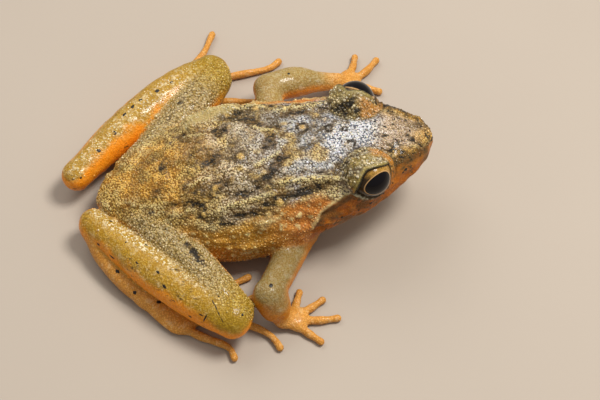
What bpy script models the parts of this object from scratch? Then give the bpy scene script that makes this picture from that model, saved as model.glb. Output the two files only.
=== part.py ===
"""Life-size still model of a small stream frog, sitting with its hind legs folded.

The tables are in millimetres and the objects in metres. +X points from the vent to the snout, +Y to the
frog's left and +Z up, with the floor at zero. While the frog is modelled, x = 0 is the vent. At the end all
of it moves along X and Y, so that the origin lies under the middle of its box.
"""

import math

import bmesh
import bpy
import numpy as np
from mathutils import Matrix, Vector

MM = 0.001

# Driving dimensions, in millimetres
NECK_X = 27.4  # where the head ends and the trunk begins
GAP = 0.3  # clear space between neighbouring solids
EYE_RADIUS = 2.4
LID_THICKNESS = 0.5
LID_WIDE_DEG = 70.0  # half angle of the opening between the lids, from corner to corner
LID_HIGH_DEG = 50.0  # and from the lower lid to the upper
BEND_START = 20.0  # from here forward the midline turns to the frog's left
BEND_AT_SNOUT = 1.25
BACK_SQUARE = 2.1  # how square a cross section is: 2 is round
SNOUT_SQUARE = 2.6
BELLY_SQUARE = 2.5

# Faceting
TRUNK_SIDES = 28
LIMB_SIDES = 12
DIGIT_SIDES = 8
CAP_RINGS = 2

# Outline of trunk and head: x, half width, height of the back, height of the widest line, height of the belly
OUTLINE = (
    (-0.4, 0.0, 3.9, 3.9, 3.9),
    (0.3, 1.7, 5.1, 3.6, 2.3),
    (2.0, 3.6, 6.4, 3.5, 0.6),
    (5.0, 5.6, 8.2, 3.5, -0.3),
    (9.0, 7.7, 10.2, 3.7, -0.3),
    (13.0, 9.2, 11.8, 3.9, -0.2),
    (17.0, 9.7, 12.7, 4.3, 0.2),
    (21.0, 9.4, 13.0, 5.1, 1.0),
    (25.0, 8.5, 13.1, 6.2, 2.2),
    (28.0, 7.9, 13.2, 7.0, 3.4),
    (31.0, 7.3, 13.2, 7.4, 4.5),
    (34.0, 6.0, 12.8, 7.9, 5.6),
    (36.5, 4.5, 12.1, 8.3, 6.6),
    (38.3, 3.1, 11.4, 8.6, 7.3),
    (39.5, 1.9, 10.7, 8.9, 7.9),
    (40.1, 1.0, 10.1, 9.1, 8.5),
    (40.2, 0.0, 9.3, 9.3, 9.3),
)

# Eyes: centre, and where they look
EYES = {
    "right": ((31.9, -5.0, 11.9), (0.41, -0.88, 0.26)),
    "left": ((31.3, 5.5, 11.9), (0.41, 0.88, 0.26)),
}

EYE_CORNER = (0.9, 0.0, 0.3)  # the way from the rear corner of an eye to its front corner

# Thickness along each limb: share of its length, half width, half height
THIGH = ((0.0, 2.5, 2.5), (0.3, 2.7, 2.8), (0.6, 2.6, 2.8), (0.85, 2.4, 2.5), (1.0, 2.2, 2.2))
SHANK = ((0.0, 2.0, 2.1), (0.2, 2.5, 2.5), (0.45, 2.6, 2.5), (0.8, 2.0, 2.1), (1.0, 1.8, 1.8))
TARSUS = ((0.0, 1.5, 1.6), (0.4, 1.2, 1.4), (1.0, 1.2, 1.2))
SOLE = ((0.0, 1.0, 1.0), (0.5, 1.5, 0.95), (1.0, 2.0, 0.75))
TOE = ((0.0, 0.62, 0.66), (0.5, 0.5, 0.57), (0.9, 0.42, 0.53), (1.0, 0.48, 0.52))
UPPER_ARM = ((0.0, 2.1, 2.0), (0.4, 1.85, 1.85), (1.0, 1.65, 1.65))
FOREARM = ((0.0, 1.7, 1.7), (0.3, 1.9, 1.9), (0.7, 1.3, 1.3), (1.0, 1.0, 1.0))
PALM = ((0.0, 0.85, 0.75), (1.0, 1.5, 0.8))
FINGER = ((0.0, 0.6, 0.66), (0.5, 0.48, 0.57), (0.9, 0.42, 0.53), (1.0, 0.48, 0.52))

# The path of each limb and digit, from its root to its tip
RIGHT = {
    "thigh": ((5.4, -3.2, 4.2), (9.6, -9.2, 4.3), (13.0, -14.3, 4.4), (14.9, -16.9, 4.1)),
    "shank": ((14.5, -18.2, 4.0), (10.6, -14.7, 4.2), (5.0, -9.3, 4.0), (-0.6, -3.0, 3.5)),
    "tarsus": ((-0.5, -3.5, 2.8), (0.3, -6.6, 2.1), (2.6, -10.1, 1.6), (4.8, -12.3, 1.2)),
    "sole": ((4.8, -12.3, 1.1), (6.6, -13.9, 0.9), (8.4, -15.2, 0.7)),
    "toe_1": ((7.8, -13.9, 0.6), (9.4, -12.7, 0.5), (11.0, -11.5, 0.45)),
    "toe_2": ((8.4, -14.3, 0.6), (12.0, -12.7, 0.5), (14.6, -11.4, 0.5), (17.0, -10.4, 0.45)),
    "toe_3": ((9.0, -14.9, 0.6), (12.8, -14.4, 0.5), (15.6, -13.8, 0.5), (17.5, -13.2, 0.45)),
    "toe_4": ((9.1, -15.6, 0.6), (13.0, -16.2, 0.5), (16.6, -17.0, 0.6), (18.9, -18.6, 0.6), (19.8, -20.2, 0.45)),
    "toe_5": ((8.4, -16.2, 0.6), (11.0, -17.9, 0.5), (13.8, -19.5, 0.5), (14.4, -21.0, 0.45)),
    "upper_arm": ((23.6, -6.4, 3.0), (22.3, -8.6, 2.7), (20.7, -12.2, 3.9), (19.0, -15.5, 5.2)),
    "forearm": ((19.1, -15.8, 4.8), (19.7, -16.4, 3.2), (20.3, -16.9, 1.5)),
    "hand": ((20.6, -17.0, 1.0), (22.0, -16.7, 0.75)),
    "finger_1": ((21.7, -15.9, 0.6), (22.3, -14.5, 0.5), (22.8, -13.1, 0.45)),
    "finger_2": ((22.3, -16.2, 0.6), (24.0, -15.3, 0.5), (25.4, -14.4, 0.45)),
    "finger_3": ((22.6, -16.9, 0.6), (24.9, -17.1, 0.5), (26.9, -17.0, 0.45)),
    "finger_4": ((22.1, -17.6, 0.6), (23.3, -18.7, 0.5), (24.6, -19.9, 0.45)),
}
LEFT = {
    "thigh": ((5.4, 3.2, 4.6), (9.8, 8.2, 4.5), (13.4, 13.0, 4.4), (15.3, 15.6, 4.1)),
    "shank": ((15.0, 17.1, 4.0), (10.0, 14.1, 4.2), (4.0, 9.6, 3.9), (-2.2, 4.1, 3.4)),
    "tarsus": ((-2.1, 4.6, 2.7), (-0.8, 7.4, 2.1), (1.8, 10.9, 1.6), (4.0, 13.2, 1.2)),
    "sole": ((4.0, 13.2, 1.1), (6.2, 14.9, 0.9), (8.0, 16.1, 0.7)),
    "toe_1": ((7.5, 14.8, 0.6), (9.2, 13.4, 0.5), (10.8, 12.2, 0.45)),
    "toe_2": ((8.1, 15.1, 0.6), (11.8, 13.0, 0.5), (14.0, 11.6, 0.5), (16.0, 10.6, 0.45)),
    "toe_3": ((8.7, 15.7, 0.6), (12.8, 15.3, 0.5), (17.2, 14.8, 0.5), (21.0, 14.3, 0.45)),
    "toe_4": ((8.8, 16.4, 0.6), (13.5, 17.8, 0.5), (18.4, 18.6, 0.6), (22.2, 19.2, 0.5), (23.7, 20.2, 0.45)),
    "toe_5": ((8.0, 17.0, 0.6), (11.4, 19.4, 0.5), (14.2, 22.0, 0.5), (15.8, 25.2, 0.45)),
    "upper_arm": ((23.6, 6.2, 3.8), (21.9, 10.2, 4.1), (21.7, 13.5, 4.2)),
    "forearm": ((21.9, 13.9, 4.1), (25.2, 14.7, 3.6), (30.4, 15.8, 1.5)),
    "hand": ((30.9, 15.8, 1.0), (32.0, 16.1, 0.75)),
    "finger_1": ((31.4, 15.1, 0.6), (32.6, 13.9, 0.5), (33.6, 12.7, 0.45)),
    "finger_2": ((32.2, 15.4, 0.6), (34.0, 15.1, 0.5), (35.6, 14.4, 0.45)),
    "finger_3": ((32.6, 16.3, 0.6), (34.4, 17.6, 0.5), (35.8, 19.1, 0.45)),
    "finger_4": ((32.0, 17.0, 0.6), (32.8, 18.4, 0.5), (33.2, 19.8, 0.45)),
}
TOES = tuple(f"toe_{n}" for n in range(1, 6))
FINGERS = tuple(f"finger_{n}" for n in range(1, 5))

# What each piece is cut back from, so that neighbours meet without overlap
KEEPS_CLEAR_OF = {
    "thigh": ("body",),
    "shank": ("thigh", "body"),
    "tarsus": ("shank", "body"),
    "sole": ("shank", "tarsus"),
    "upper_arm": ("body",),
    "forearm": ("upper_arm",),
    "hand": ("forearm",),
    "toe_1": ("sole",),
    "finger_1": ("hand",),
    **{toe: ("sole", inner) for inner, toe in zip(TOES, TOES[1:])},
    **{finger: ("hand", inner) for inner, finger in zip(FINGERS, FINGERS[1:])},
}
PROFILES = {
    "thigh": THIGH,
    "shank": SHANK,
    "tarsus": TARSUS,
    "sole": SOLE,
    "upper_arm": UPPER_ARM,
    "forearm": FOREARM,
    "hand": PALM,
    **{toe: TOE for toe in TOES},
    **{finger: FINGER for finger in FINGERS},
}

# Colour, roughness
SKIN_BACK = ("back_skin", (0.42, 0.31, 0.15), 0.5)
SKIN_LEG = ("leg_skin", (0.62, 0.36, 0.08), 0.45)
SKIN_DIGIT = ("digit_skin", (0.66, 0.38, 0.12), 0.45)
EYE_GLOSS = ("eye", (0.03, 0.025, 0.02), 0.08)


def clear_scene():
    """Empties the file."""
    for thing in list(bpy.data.objects):
        bpy.data.objects.remove(thing)


def collection(name):
    """A new collection in the scene."""
    made = bpy.data.collections.new(name)
    bpy.context.scene.collection.children.link(made)
    return made


def material(name, colour, roughness):
    """A plain Principled material, made once."""
    made = bpy.data.materials.get(name)
    if made is None:
        made = bpy.data.materials.new(name)
        made.use_nodes = True
        shader = made.node_tree.nodes["Principled BSDF"]
        shader.inputs["Base Color"].default_value = (*colour, 1.0)
        shader.inputs["Roughness"].default_value = roughness
        shader.inputs["Metallic"].default_value = 0.0
    return made


def smooth_curve(knots, values, at):
    """Values between knots on a Catmull-Rom style cubic whose slopes never overshoot a rise or a fall."""
    knots = np.asarray(knots, float)
    values = np.asarray(values, float)
    step = np.diff(knots)
    slope = np.diff(values) / step
    tangent = np.zeros_like(values)
    both = slope[:-1] * slope[1:] > 0
    before = 2 * step[1:] + step[:-1]
    after = step[1:] + 2 * step[:-1]
    mean = np.where(both, (before + after) / (before / np.where(both, slope[:-1], 1)
                                              + after / np.where(both, slope[1:], 1)), 0)
    tangent[1:-1] = mean
    tangent[0] = slope[0]
    tangent[-1] = slope[-1]
    at = np.clip(at, knots[0], knots[-1])
    cell = np.clip(np.searchsorted(knots, at) - 1, 0, len(step) - 1)
    t = (at - knots[cell]) / step[cell]
    rise = step[cell]
    return ((1 + 2 * t) * (1 - t) ** 2 * values[cell] + t * (1 - t) ** 2 * rise * tangent[cell]
            + t * t * (3 - 2 * t) * values[cell + 1] + t * t * (t - 1) * rise * tangent[cell + 1])


def add_object(name, mesh, group, skin):
    """Puts a mesh into the scene as a named, smooth-shaded object with its material."""
    made = bpy.data.objects.new(name, mesh)
    group.objects.link(made)
    mesh.materials.append(material(*skin))
    mesh.shade_smooth()
    return made


def loft(name, rings, start, end):
    """A closed mesh through rings of equal point counts, with a point or, for None, a flat face at each end."""
    shell = bmesh.new()
    rows = [[shell.verts.new(Vector(point) * MM) for point in ring] for ring in rings]
    count = len(rows[0])
    for low, high in zip(rows, rows[1:]):
        for i in range(count):
            shell.faces.new((low[i], low[(i + 1) % count], high[(i + 1) % count], high[i]))
    for row, pole in ((rows[0], start), (rows[-1], end)):
        if pole is None:
            shell.faces.new(row)
            continue
        tip = shell.verts.new(Vector(pole) * MM)
        for i in range(count):
            shell.faces.new((row[i], row[(i + 1) % count], tip))
    bmesh.ops.recalc_face_normals(shell, faces=shell.faces)
    mesh = bpy.data.meshes.new(name)
    shell.to_mesh(mesh)
    shell.free()
    return mesh


def bend_at(x):
    """How far the midline has turned to the left at x."""
    share = max(0.0, (x - BEND_START) / (OUTLINE[-1][0] - BEND_START))
    return BEND_AT_SNOUT * share ** 2


def body_ring(x, grow):
    """One cross section of trunk or head, a circle squared a little, with its own half height and squareness
    above and below the widest line."""
    table = np.array(OUTLINE)
    half, back, widest, belly = (float(smooth_curve(table[:, 0], table[:, k], x)) for k in range(1, 5))
    upper = float(np.interp(x, (NECK_X, OUTLINE[-5][0]), (BACK_SQUARE, SNOUT_SQUARE)))
    ring = []
    for i in range(TRUNK_SIDES):
        angle = math.tau * i / TRUNK_SIDES
        square = 2 / (upper if math.sin(angle) > 0 else BELLY_SQUARE)
        across = math.copysign(abs(math.cos(angle)) ** square, math.cos(angle))
        up = math.copysign(abs(math.sin(angle)) ** square, math.sin(angle))
        rise = back - widest if up > 0 else widest - belly
        y = bend_at(x) + across * (half + grow)
        z = widest + up * (rise + grow)
        ring.append((x, y, max(z, -grow)))
    return ring


def body_mesh(name, first, last, grow=0.0):
    """Trunk or head: the outline's cross sections from first to last, ending in a point at vent or snout."""
    low = OUTLINE[0][0]
    high = OUTLINE[-1][0]
    middle = [x for x in np.arange(2.0, 39.5, 1.9) if first + 0.6 < x < last - 0.6]
    near_vent = [x for x in (low + 0.12, 0.2, 0.8) if x > first]
    near_snout = [x for x in (39.6, 40.2, 40.5) if x < last]
    inner = [x for x in middle if low + 1.8 < x < high - 1.2]
    stations = ([first] if first > low else near_vent) + inner + ([last] if last < high else near_snout)
    rings = [body_ring(x, grow) for x in stations]
    vent = (low - grow, bend_at(low), OUTLINE[0][2]) if first <= low else None
    snout = (high + grow, bend_at(high), OUTLINE[-1][2]) if last >= high else None
    return loft(name, rings, vent, snout)


def path_points(path, count):
    """Points spaced evenly along a smooth curve through the path, and its directions there."""
    knots = np.array(path, float)
    ends = np.vstack([2 * knots[0] - knots[1], knots, 2 * knots[-1] - knots[-2]])
    fine = []
    for i in range(len(knots) - 1):
        a, b, c, d = ends[i : i + 4]
        for t in np.linspace(0, 1, 16, endpoint=False):
            fine.append(0.5 * (2 * b + (c - a) * t + (2 * a - 5 * b + 4 * c - d) * t * t
                               + (3 * b - a - 3 * c + d) * t ** 3))
    fine.append(knots[-1])
    fine = np.array(fine)
    reach = np.concatenate([[0], np.cumsum(np.linalg.norm(np.diff(fine, axis=0), axis=1))])
    wanted = np.linspace(0, reach[-1], count)
    points = np.stack([np.interp(wanted, reach, fine[:, k]) for k in range(3)], axis=1)
    directions = np.gradient(points, axis=0)
    return points, directions / np.linalg.norm(directions, axis=1)[:, None]


def limb_mesh(name, path, profile, sides, count, grow=0.0):
    """A rounded limb along a path: elliptic rings, wide across and high upwards, with domed ends."""
    points, directions = path_points(path, count)
    shares = np.linspace(0, 1, count)
    table = np.array(profile)
    wide = smooth_curve(table[:, 0], table[:, 1], shares) + grow
    high = smooth_curve(table[:, 0], table[:, 2], shares) + grow
    broad = np.cross(directions[count // 2], (0.0, 0.0, 1.0))
    rings = []

    def ring_at(centre, direction, half, rise):
        across = broad - np.dot(broad, direction) * direction
        across /= np.linalg.norm(across)
        upward = np.cross(across, direction)
        ring = []
        for i in range(sides):
            angle = math.tau * (i + 0.5) / sides
            point = centre + across * half * math.cos(angle) + upward * rise * math.sin(angle)
            ring.append((point[0], point[1], max(point[2], -grow)))
        return ring

    dome = [math.radians(90 * (k + 0.4) / CAP_RINGS) for k in range(CAP_RINGS)]
    for lean in dome:
        back = directions[0] * wide[0] * math.cos(lean)
        rings.append(ring_at(points[0] - back, directions[0], wide[0] * math.sin(lean), high[0] * math.sin(lean)))
    for k in range(count):
        rings.append(ring_at(points[k], directions[k], wide[k], high[k]))
    for lean in reversed(dome):
        ahead = directions[-1] * wide[-1] * math.cos(lean)
        rings.append(ring_at(points[-1] + ahead, directions[-1], wide[-1] * math.sin(lean), high[-1] * math.sin(lean)))
    start = points[0] - directions[0] * wide[0]
    end = points[-1] + directions[-1] * wide[-1]
    return loft(name, rings, start, end)


def cutter(name, mesh, group):
    """A helper that shapes other pieces and isn't part of the frog."""
    made = bpy.data.objects.new(name, mesh)
    group.objects.link(made)
    made.hide_render = True
    made.display_type = "WIRE"
    return made


def combine(target, other, operation):
    """Joins, cuts or intersects target with other."""
    step = target.modifiers.new(operation.title(), "BOOLEAN")
    step.operation = operation
    step.object = other
    step.solver = "EXACT"
    return step


def cut_clear(piece, spaces, helpers):
    """Cuts a piece back from all its neighbours at once."""
    around = bpy.data.collections.new(f"{piece.name}_clearance")
    helpers.children.link(around)
    for space in spaces:
        around.objects.link(space)
    step = piece.modifiers.new("Clearance", "BOOLEAN")
    step.operation = "DIFFERENCE"
    step.operand_type = "COLLECTION"
    step.collection = around
    step.solver = "EXACT"


def ball_mesh(name, radius, centre):
    """A round ball."""
    shell = bmesh.new()
    bmesh.ops.create_uvsphere(shell, u_segments=24, v_segments=14, radius=radius * MM)
    bmesh.ops.translate(shell, verts=shell.verts, vec=Vector(centre) * MM)
    mesh = bpy.data.meshes.new(name)
    shell.to_mesh(mesh)
    shell.free()
    return mesh


def cone_mesh(name, apex, look, length):
    """An oval cone from its apex outwards, the space that the open lids leave. Its corners lie along the face
    and rise to the front."""
    shell = bmesh.new()
    bmesh.ops.create_cone(shell, cap_ends=True, segments=24, radius1=length * MM, radius2=0.0, depth=length * MM)
    bmesh.ops.translate(shell, verts=shell.verts, vec=(0, 0, -length / 2 * MM))
    corner = Vector(EYE_CORNER)
    corner = (corner - look * corner.dot(look)).normalized()
    aim = Matrix((corner, look.cross(corner), -look)).transposed().to_4x4()
    wide = math.tan(math.radians(LID_WIDE_DEG))
    high = math.tan(math.radians(LID_HIGH_DEG))
    oval = Matrix.Diagonal((wide, high, 1.0, 1.0))
    bmesh.ops.transform(shell, matrix=Matrix.Translation(Vector(apex) * MM) @ aim @ oval, verts=shell.verts)
    bmesh.ops.recalc_face_normals(shell, faces=shell.faces)
    mesh = bpy.data.meshes.new(name)
    shell.to_mesh(mesh)
    shell.free()
    return mesh


def build_eye(side, frog, helpers, head):
    """An eyeball's exposed cap, and the lids' dome round it on the head, open where the eye looks out."""
    centre, gaze = EYES[side]
    look = Vector(gaze).normalized()
    dome = cutter(f"{side}_lid_dome", ball_mesh("dome", EYE_RADIUS + LID_THICKNESS, centre), helpers)
    combine(head, dome, "UNION")
    apex = Vector(centre) - look * GAP
    inner_apex = apex + look * GAP / math.sin(math.radians(LID_HIGH_DEG))
    opening = cone_mesh("opening", apex, look, 2 * EYE_RADIUS)
    combine(head, cutter(f"{side}_lid_opening", opening, helpers), "DIFFERENCE")
    eye = add_object(f"{side}_eye", ball_mesh("eye", EYE_RADIUS, centre), frog, EYE_GLOSS)
    plug = cone_mesh("plug", inner_apex, look, 2 * EYE_RADIUS)
    combine(eye, cutter(f"{side}_eye_cone", plug, helpers), "INTERSECT")


def build_limbs(side, paths, frog, helpers, body_space):
    """The hind and fore leg of one side, each segment and digit a solid of its own."""
    grown = {"body": body_space}
    for name, path in paths.items():
        digit = name in TOES or name in FINGERS
        sides = DIGIT_SIDES if digit else LIMB_SIDES
        count = 3 * len(path) - 2
        node = f"{side}_{name}"
        skin = SKIN_DIGIT if digit or name in ("sole", "hand") else SKIN_LEG
        piece = add_object(node, limb_mesh(node, path, PROFILES[name], sides, count), frog, skin)
        space = limb_mesh(node, path, PROFILES[name], sides, count, GAP)
        grown[name] = cutter(f"{node}_space", space, helpers)
        cut_clear(piece, [grown[other] for other in KEEPS_CLEAR_OF[name]], helpers)


def settle_origin(frog):
    """Moves every object along X and Y so that the middle of the frog's box is over the origin."""
    bpy.context.view_layer.update()
    graph = bpy.context.evaluated_depsgraph_get()
    corners = np.array([
        thing.evaluated_get(graph).matrix_world @ Vector(corner)
        for thing in frog.objects
        for corner in thing.evaluated_get(graph).bound_box
    ])
    middle = (corners.min(0) + corners.max(0)) / 2
    for thing in bpy.data.objects:
        thing.location.x -= middle[0]
        thing.location.y -= middle[1]


def main():
    """Builds the frog."""
    clear_scene()
    frog = collection("stream_frog")
    helpers = collection("cutters")
    snout = OUTLINE[-1][0]
    vent = OUTLINE[0][0]
    add_object("trunk", body_mesh("trunk", vent, NECK_X - GAP / 2), frog, SKIN_BACK)
    head = add_object("head", body_mesh("head", NECK_X + GAP / 2, snout), frog, SKIN_BACK)
    for side in EYES:
        build_eye(side, frog, helpers, head)
    body_space = cutter("body_space", body_mesh("body_space", vent, snout, GAP), helpers)
    build_limbs("right", RIGHT, frog, helpers, body_space)
    build_limbs("left", LEFT, frog, helpers, body_space)
    settle_origin(frog)


main()
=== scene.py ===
"""Looks of a life-size still model of a small stream frog: one unbroken skin and two glossy eyes.

Lengths are millimetres until a mesh is written, when they become metres. The modelling axes are those of
the solids before they were centred: x runs from the vent to the snout, y to the frog's left and z up.
"""

import logging
import math
from collections.abc import Callable
from dataclasses import dataclass, field
from enum import Enum
from itertools import product

import bpy
import numpy as np
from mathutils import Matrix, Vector


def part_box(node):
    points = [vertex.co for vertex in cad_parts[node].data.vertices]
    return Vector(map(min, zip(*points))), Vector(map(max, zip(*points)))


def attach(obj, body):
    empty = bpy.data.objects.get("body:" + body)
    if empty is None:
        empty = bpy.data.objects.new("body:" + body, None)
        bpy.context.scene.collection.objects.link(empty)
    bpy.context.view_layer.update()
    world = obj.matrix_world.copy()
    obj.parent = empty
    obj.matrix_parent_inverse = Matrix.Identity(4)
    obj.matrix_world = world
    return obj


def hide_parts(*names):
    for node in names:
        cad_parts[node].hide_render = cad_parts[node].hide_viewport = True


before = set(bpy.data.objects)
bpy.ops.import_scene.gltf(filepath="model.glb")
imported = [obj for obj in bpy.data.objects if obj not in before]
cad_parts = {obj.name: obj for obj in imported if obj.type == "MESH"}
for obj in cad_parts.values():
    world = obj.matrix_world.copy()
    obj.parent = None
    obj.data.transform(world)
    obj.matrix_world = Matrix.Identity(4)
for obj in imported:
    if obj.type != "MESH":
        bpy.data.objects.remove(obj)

MM = 0.001
# x of the trunk's rear end
TRUNK_REAR = -0.4
IMAGE_WIDTH = 600
CORNERS = tuple(product((0, 1), repeat=3))
Array = np.ndarray
Triple = tuple[float, float, float]
# x, y and z as three arrays that broadcast against each other
Place = tuple[Array, Array, Array]
Socket = bpy.types.NodeSocket
log = logging.getLogger("stream_frog")


class Side(Enum):
    """The frog's two sides; the value is the sign of y there."""

    RIGHT = -1
    LEFT = 1

    @property
    def word(self) -> str:
        """The side's name as the frame spells it."""
        return self.name.lower()


# Numbers over arrays


def ramp(low: float, high: float, value: Array) -> Array:
    """0 at low and 1 at high with a cubic ease between, or falling where low is above high."""
    share = np.clip((value - low) / (high - low), 0.0, 1.0)
    return share * share * (3.0 - 2.0 * share)


def blend(share: Array, low: Array, high: Array) -> Array:
    """low where share is 0, high where it is 1."""
    return low + (high - low) * share


def bell(value: Array, middle: float, half_width: float) -> Array:
    """1 at middle, falling off on both sides as exp(-((value - middle) / half_width) squared)."""
    return np.exp(-((value - middle) / half_width) ** 2)


def soft_union(first: Array, second: Array, fillet: Array) -> Array:
    """The smaller distance, less fillet / 4 times the square of 1 - |a - b| / fillet where both are near."""
    near = np.maximum(fillet - np.abs(first - second), 0.0) / fillet
    return np.minimum(first, second) - near * near * fillet * 0.25


def smooth_curve(knots: Array, values: Array, at: Array) -> Array:
    """A cubic through values at knots whose slopes never overshoot a rise or a fall.

    Args:
        knots: Rising places.
        values: What the curve is there.
        at: Where it is read.

    Returns:
        The Hermite cubic whose slope at a knot is the weighted harmonic mean of the chords beside it, or
        zero where they differ in sign.
    """
    step = np.diff(knots)
    slope = np.diff(values) / step
    both = slope[:-1] * slope[1:] > 0
    before = 2 * step[1:] + step[:-1]
    after = step[1:] + 2 * step[:-1]
    mean = (before + after) / (before / np.where(both, slope[:-1], 1) + after / np.where(both, slope[1:], 1))
    tangent = np.concatenate([slope[:1], np.where(both, mean, 0), slope[-1:]])
    at = np.clip(at, knots[0], knots[-1])
    cell = np.clip(np.searchsorted(knots, at) - 1, 0, len(step) - 1)
    t = (at - knots[cell]) / step[cell]
    rise = step[cell]
    return ((1 + 2 * t) * (1 - t) ** 2 * values[cell] + t * (1 - t) ** 2 * rise * tangent[cell]
            + t * t * (3 - 2 * t) * values[cell + 1] + t * t * (t - 1) * rise * tangent[cell + 1])


def lumps(places: Array, size: float, seed: int) -> Array:
    """Smooth random lumps: random values at the corners of cubes, eased between them.

    Args:
        places: Rows of x, y, z.
        size: Width of a lump.
        seed: Which lumps.

    Returns:
        Numbers from 0 to 1.
    """
    period = 32
    table = np.random.default_rng(seed).random((period, period, period))
    scaled = places / size
    corner = np.floor(scaled).astype(int)
    share = scaled - corner
    share = share * share * (3 - 2 * share)
    total = np.zeros(len(places))
    for bits in CORNERS:
        weight = np.abs(1 - np.array(bits) - share).prod(axis=1)
        total += weight * table[tuple(((corner + bits) % period).T)]
    return total


def unit(vector: Triple | Array) -> Array:
    """The vector at length one."""
    vector = np.asarray(vector, float)
    return vector / np.linalg.norm(vector)


def minus(place: Place, middle: Triple | Array) -> Place:
    """Offsets of places from a middle."""
    return tuple(value - centre for value, centre in zip(place, middle))


def dot(offset: Place, axis: Place | Array) -> Array:
    """How far offsets reach along an axis."""
    return offset[0] * axis[0] + offset[1] * axis[1] + offset[2] * axis[2]


def away_from(points: Array, middle: Triple) -> Array:
    """Each point's distance from a place."""
    return np.linalg.norm(points - np.asarray(middle), axis=1)


def away_from_line(points: Array, line: tuple[Triple, ...]) -> Array:
    """Each point's distance from a line of straight stretches.

    Args:
        points: Rows of x, y, z.
        line: The stretches' ends, in order.

    Returns:
        The least of its distances from the stretches.
    """
    knots = np.array(line, float)
    best = np.full(len(points), np.inf)
    for start, end in zip(knots, knots[1:]):
        axis = end - start
        share = np.clip((points - start) @ axis / (axis @ axis), 0, 1)
        best = np.minimum(best, np.linalg.norm(points - start - share[:, None] * axis, axis=1))
    return best


def to_frame(places: Array) -> Array:
    """Modelling places in millimetres as the frame's metres, read off the trunk's rear end and middle."""
    low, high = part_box("trunk")
    return np.asarray(places, float) * MM + (low.x - TRUNK_REAR * MM, (low.y + high.y) / 2, 0.0)


# Shapes as signed distances


@dataclass(frozen=True)
class Torso:
    """Trunk and head: sections along x, each a circle squared a little above and below its widest line."""

    # x, half width, height of the back, height of the widest line, height of the belly
    outline: tuple = (
        (-0.4, 0.0, 3.9, 3.9, 3.9),
        (0.3, 1.7, 5.1, 3.6, 2.3),
        (2.0, 3.6, 6.4, 3.5, 0.6),
        (5.0, 5.6, 8.2, 3.5, -0.3),
        (9.0, 7.7, 10.2, 3.7, -0.3),
        (13.0, 9.2, 11.8, 3.9, -0.2),
        (17.0, 9.7, 12.7, 4.3, 0.2),
        (21.0, 9.4, 13.0, 5.1, 1.0),
        (25.0, 8.5, 13.1, 6.2, 2.2),
        (28.0, 7.9, 13.2, 7.0, 3.4),
        (31.0, 7.3, 13.2, 7.4, 4.5),
        (34.0, 6.0, 12.8, 7.9, 5.6),
        (36.5, 4.5, 12.1, 8.3, 6.6),
        (38.3, 3.1, 11.4, 8.6, 7.3),
        (39.5, 1.9, 10.7, 8.9, 7.9),
        (40.1, 1.0, 10.1, 9.1, 8.5),
        (40.2, 0.0, 9.3, 9.3, 9.3),
    )
    bend_start: float = 20.0
    bend_at_snout: float = 1.25
    back_square: float = 2.1
    snout_square: float = 2.6
    belly_square: float = 2.5
    square_from: float = 27.4
    square_to: float = 36.5
    end_round: float = 1.5
    least_half: float = 0.02
    least_reach: float = 1e-4
    slope_step: float = 0.05
    margin: float = 2.5
    half_room: float = 13.0
    lowest: float = -1.0
    highest: float = 16.5

    @property
    def rear(self) -> float:
        """Where the vent end lies."""
        return self.outline[0][0]

    @property
    def snout(self) -> float:
        """Where the snout ends."""
        return self.outline[-1][0]

    def bend(self, x: Array) -> Array:
        """How far the midline has turned to the left at x: a parabola from bend_start."""
        share = np.maximum(0.0, (x - self.bend_start) / (self.snout - self.bend_start))
        return self.bend_at_snout * share ** 2

    def section(self, x: Array) -> tuple[Array, ...]:
        """Half width, back, widest line and belly at x."""
        table = np.array(self.outline)
        return tuple(smooth_curve(table[:, 0], table[:, k], x) for k in range(1, 5))

    def across_and_up(self, place: Place) -> tuple[Array, ...]:
        """A point's place in its cross section.

        Args:
            place: Where.

        Returns:
            The share of the half width across, the signed share of the half height up, both halves, and how
            square the section is there.
        """
        x, y, z = place
        half, back, widest, belly = self.section(x)
        half = np.maximum(half, self.least_half)
        square = np.interp(x, (self.square_from, self.square_to), (self.back_square, self.snout_square))
        above = z > widest
        height = np.maximum(np.where(above, back - widest, widest - belly), self.least_half)
        shape = np.where(above, square, self.belly_square)
        return np.abs(y - self.bend(x)) / half, (z - widest) / height, half, height, shape

    def reach(self, place: Place) -> Array:
        """1 on the surface, less inside: the squared circle's radius from the shares across and up."""
        across, up, _, _, shape = self.across_and_up(place)
        return (across ** shape + np.abs(up) ** shape) ** (1 / shape)

    def distance(self, place: Place) -> Array:
        """Signed distance, near the surface.

        Args:
            place: Where.

        Returns:
            (reach - 1) over reach's slope, rounded off at both ends.
        """
        x, y, z = place
        across, up, half, height, shape = self.across_and_up(place)
        reach = np.maximum((across ** shape + np.abs(up) ** shape) ** (1 / shape), self.least_reach)
        step = self.slope_step
        along = (self.reach((x + step, y, z)) - self.reach((x - step, y, z))) / (2 * step)
        side = (across / reach) ** (shape - 1) / half
        rise = (np.abs(up) / reach) ** (shape - 1) / height
        slope = np.sqrt(side ** 2 + rise ** 2 + along ** 2)
        ends = np.maximum(x - self.snout, self.rear - x)
        return -soft_union(-(reach - 1) / slope, -ends + 0 * y, self.end_round)

    def limits(self) -> tuple[Array, Array]:
        """Lowest and highest corner of the space that the shape needs."""
        return (np.array([self.rear - self.margin, -self.half_room, self.lowest]),
                np.array([self.snout + self.margin, self.half_room, self.highest]))


def kind(name: str) -> str:
    """What kind of limb it is, the same for all toes and for all fingers."""
    return name.split("_")[0] if name[-1].isdigit() else name


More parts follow.
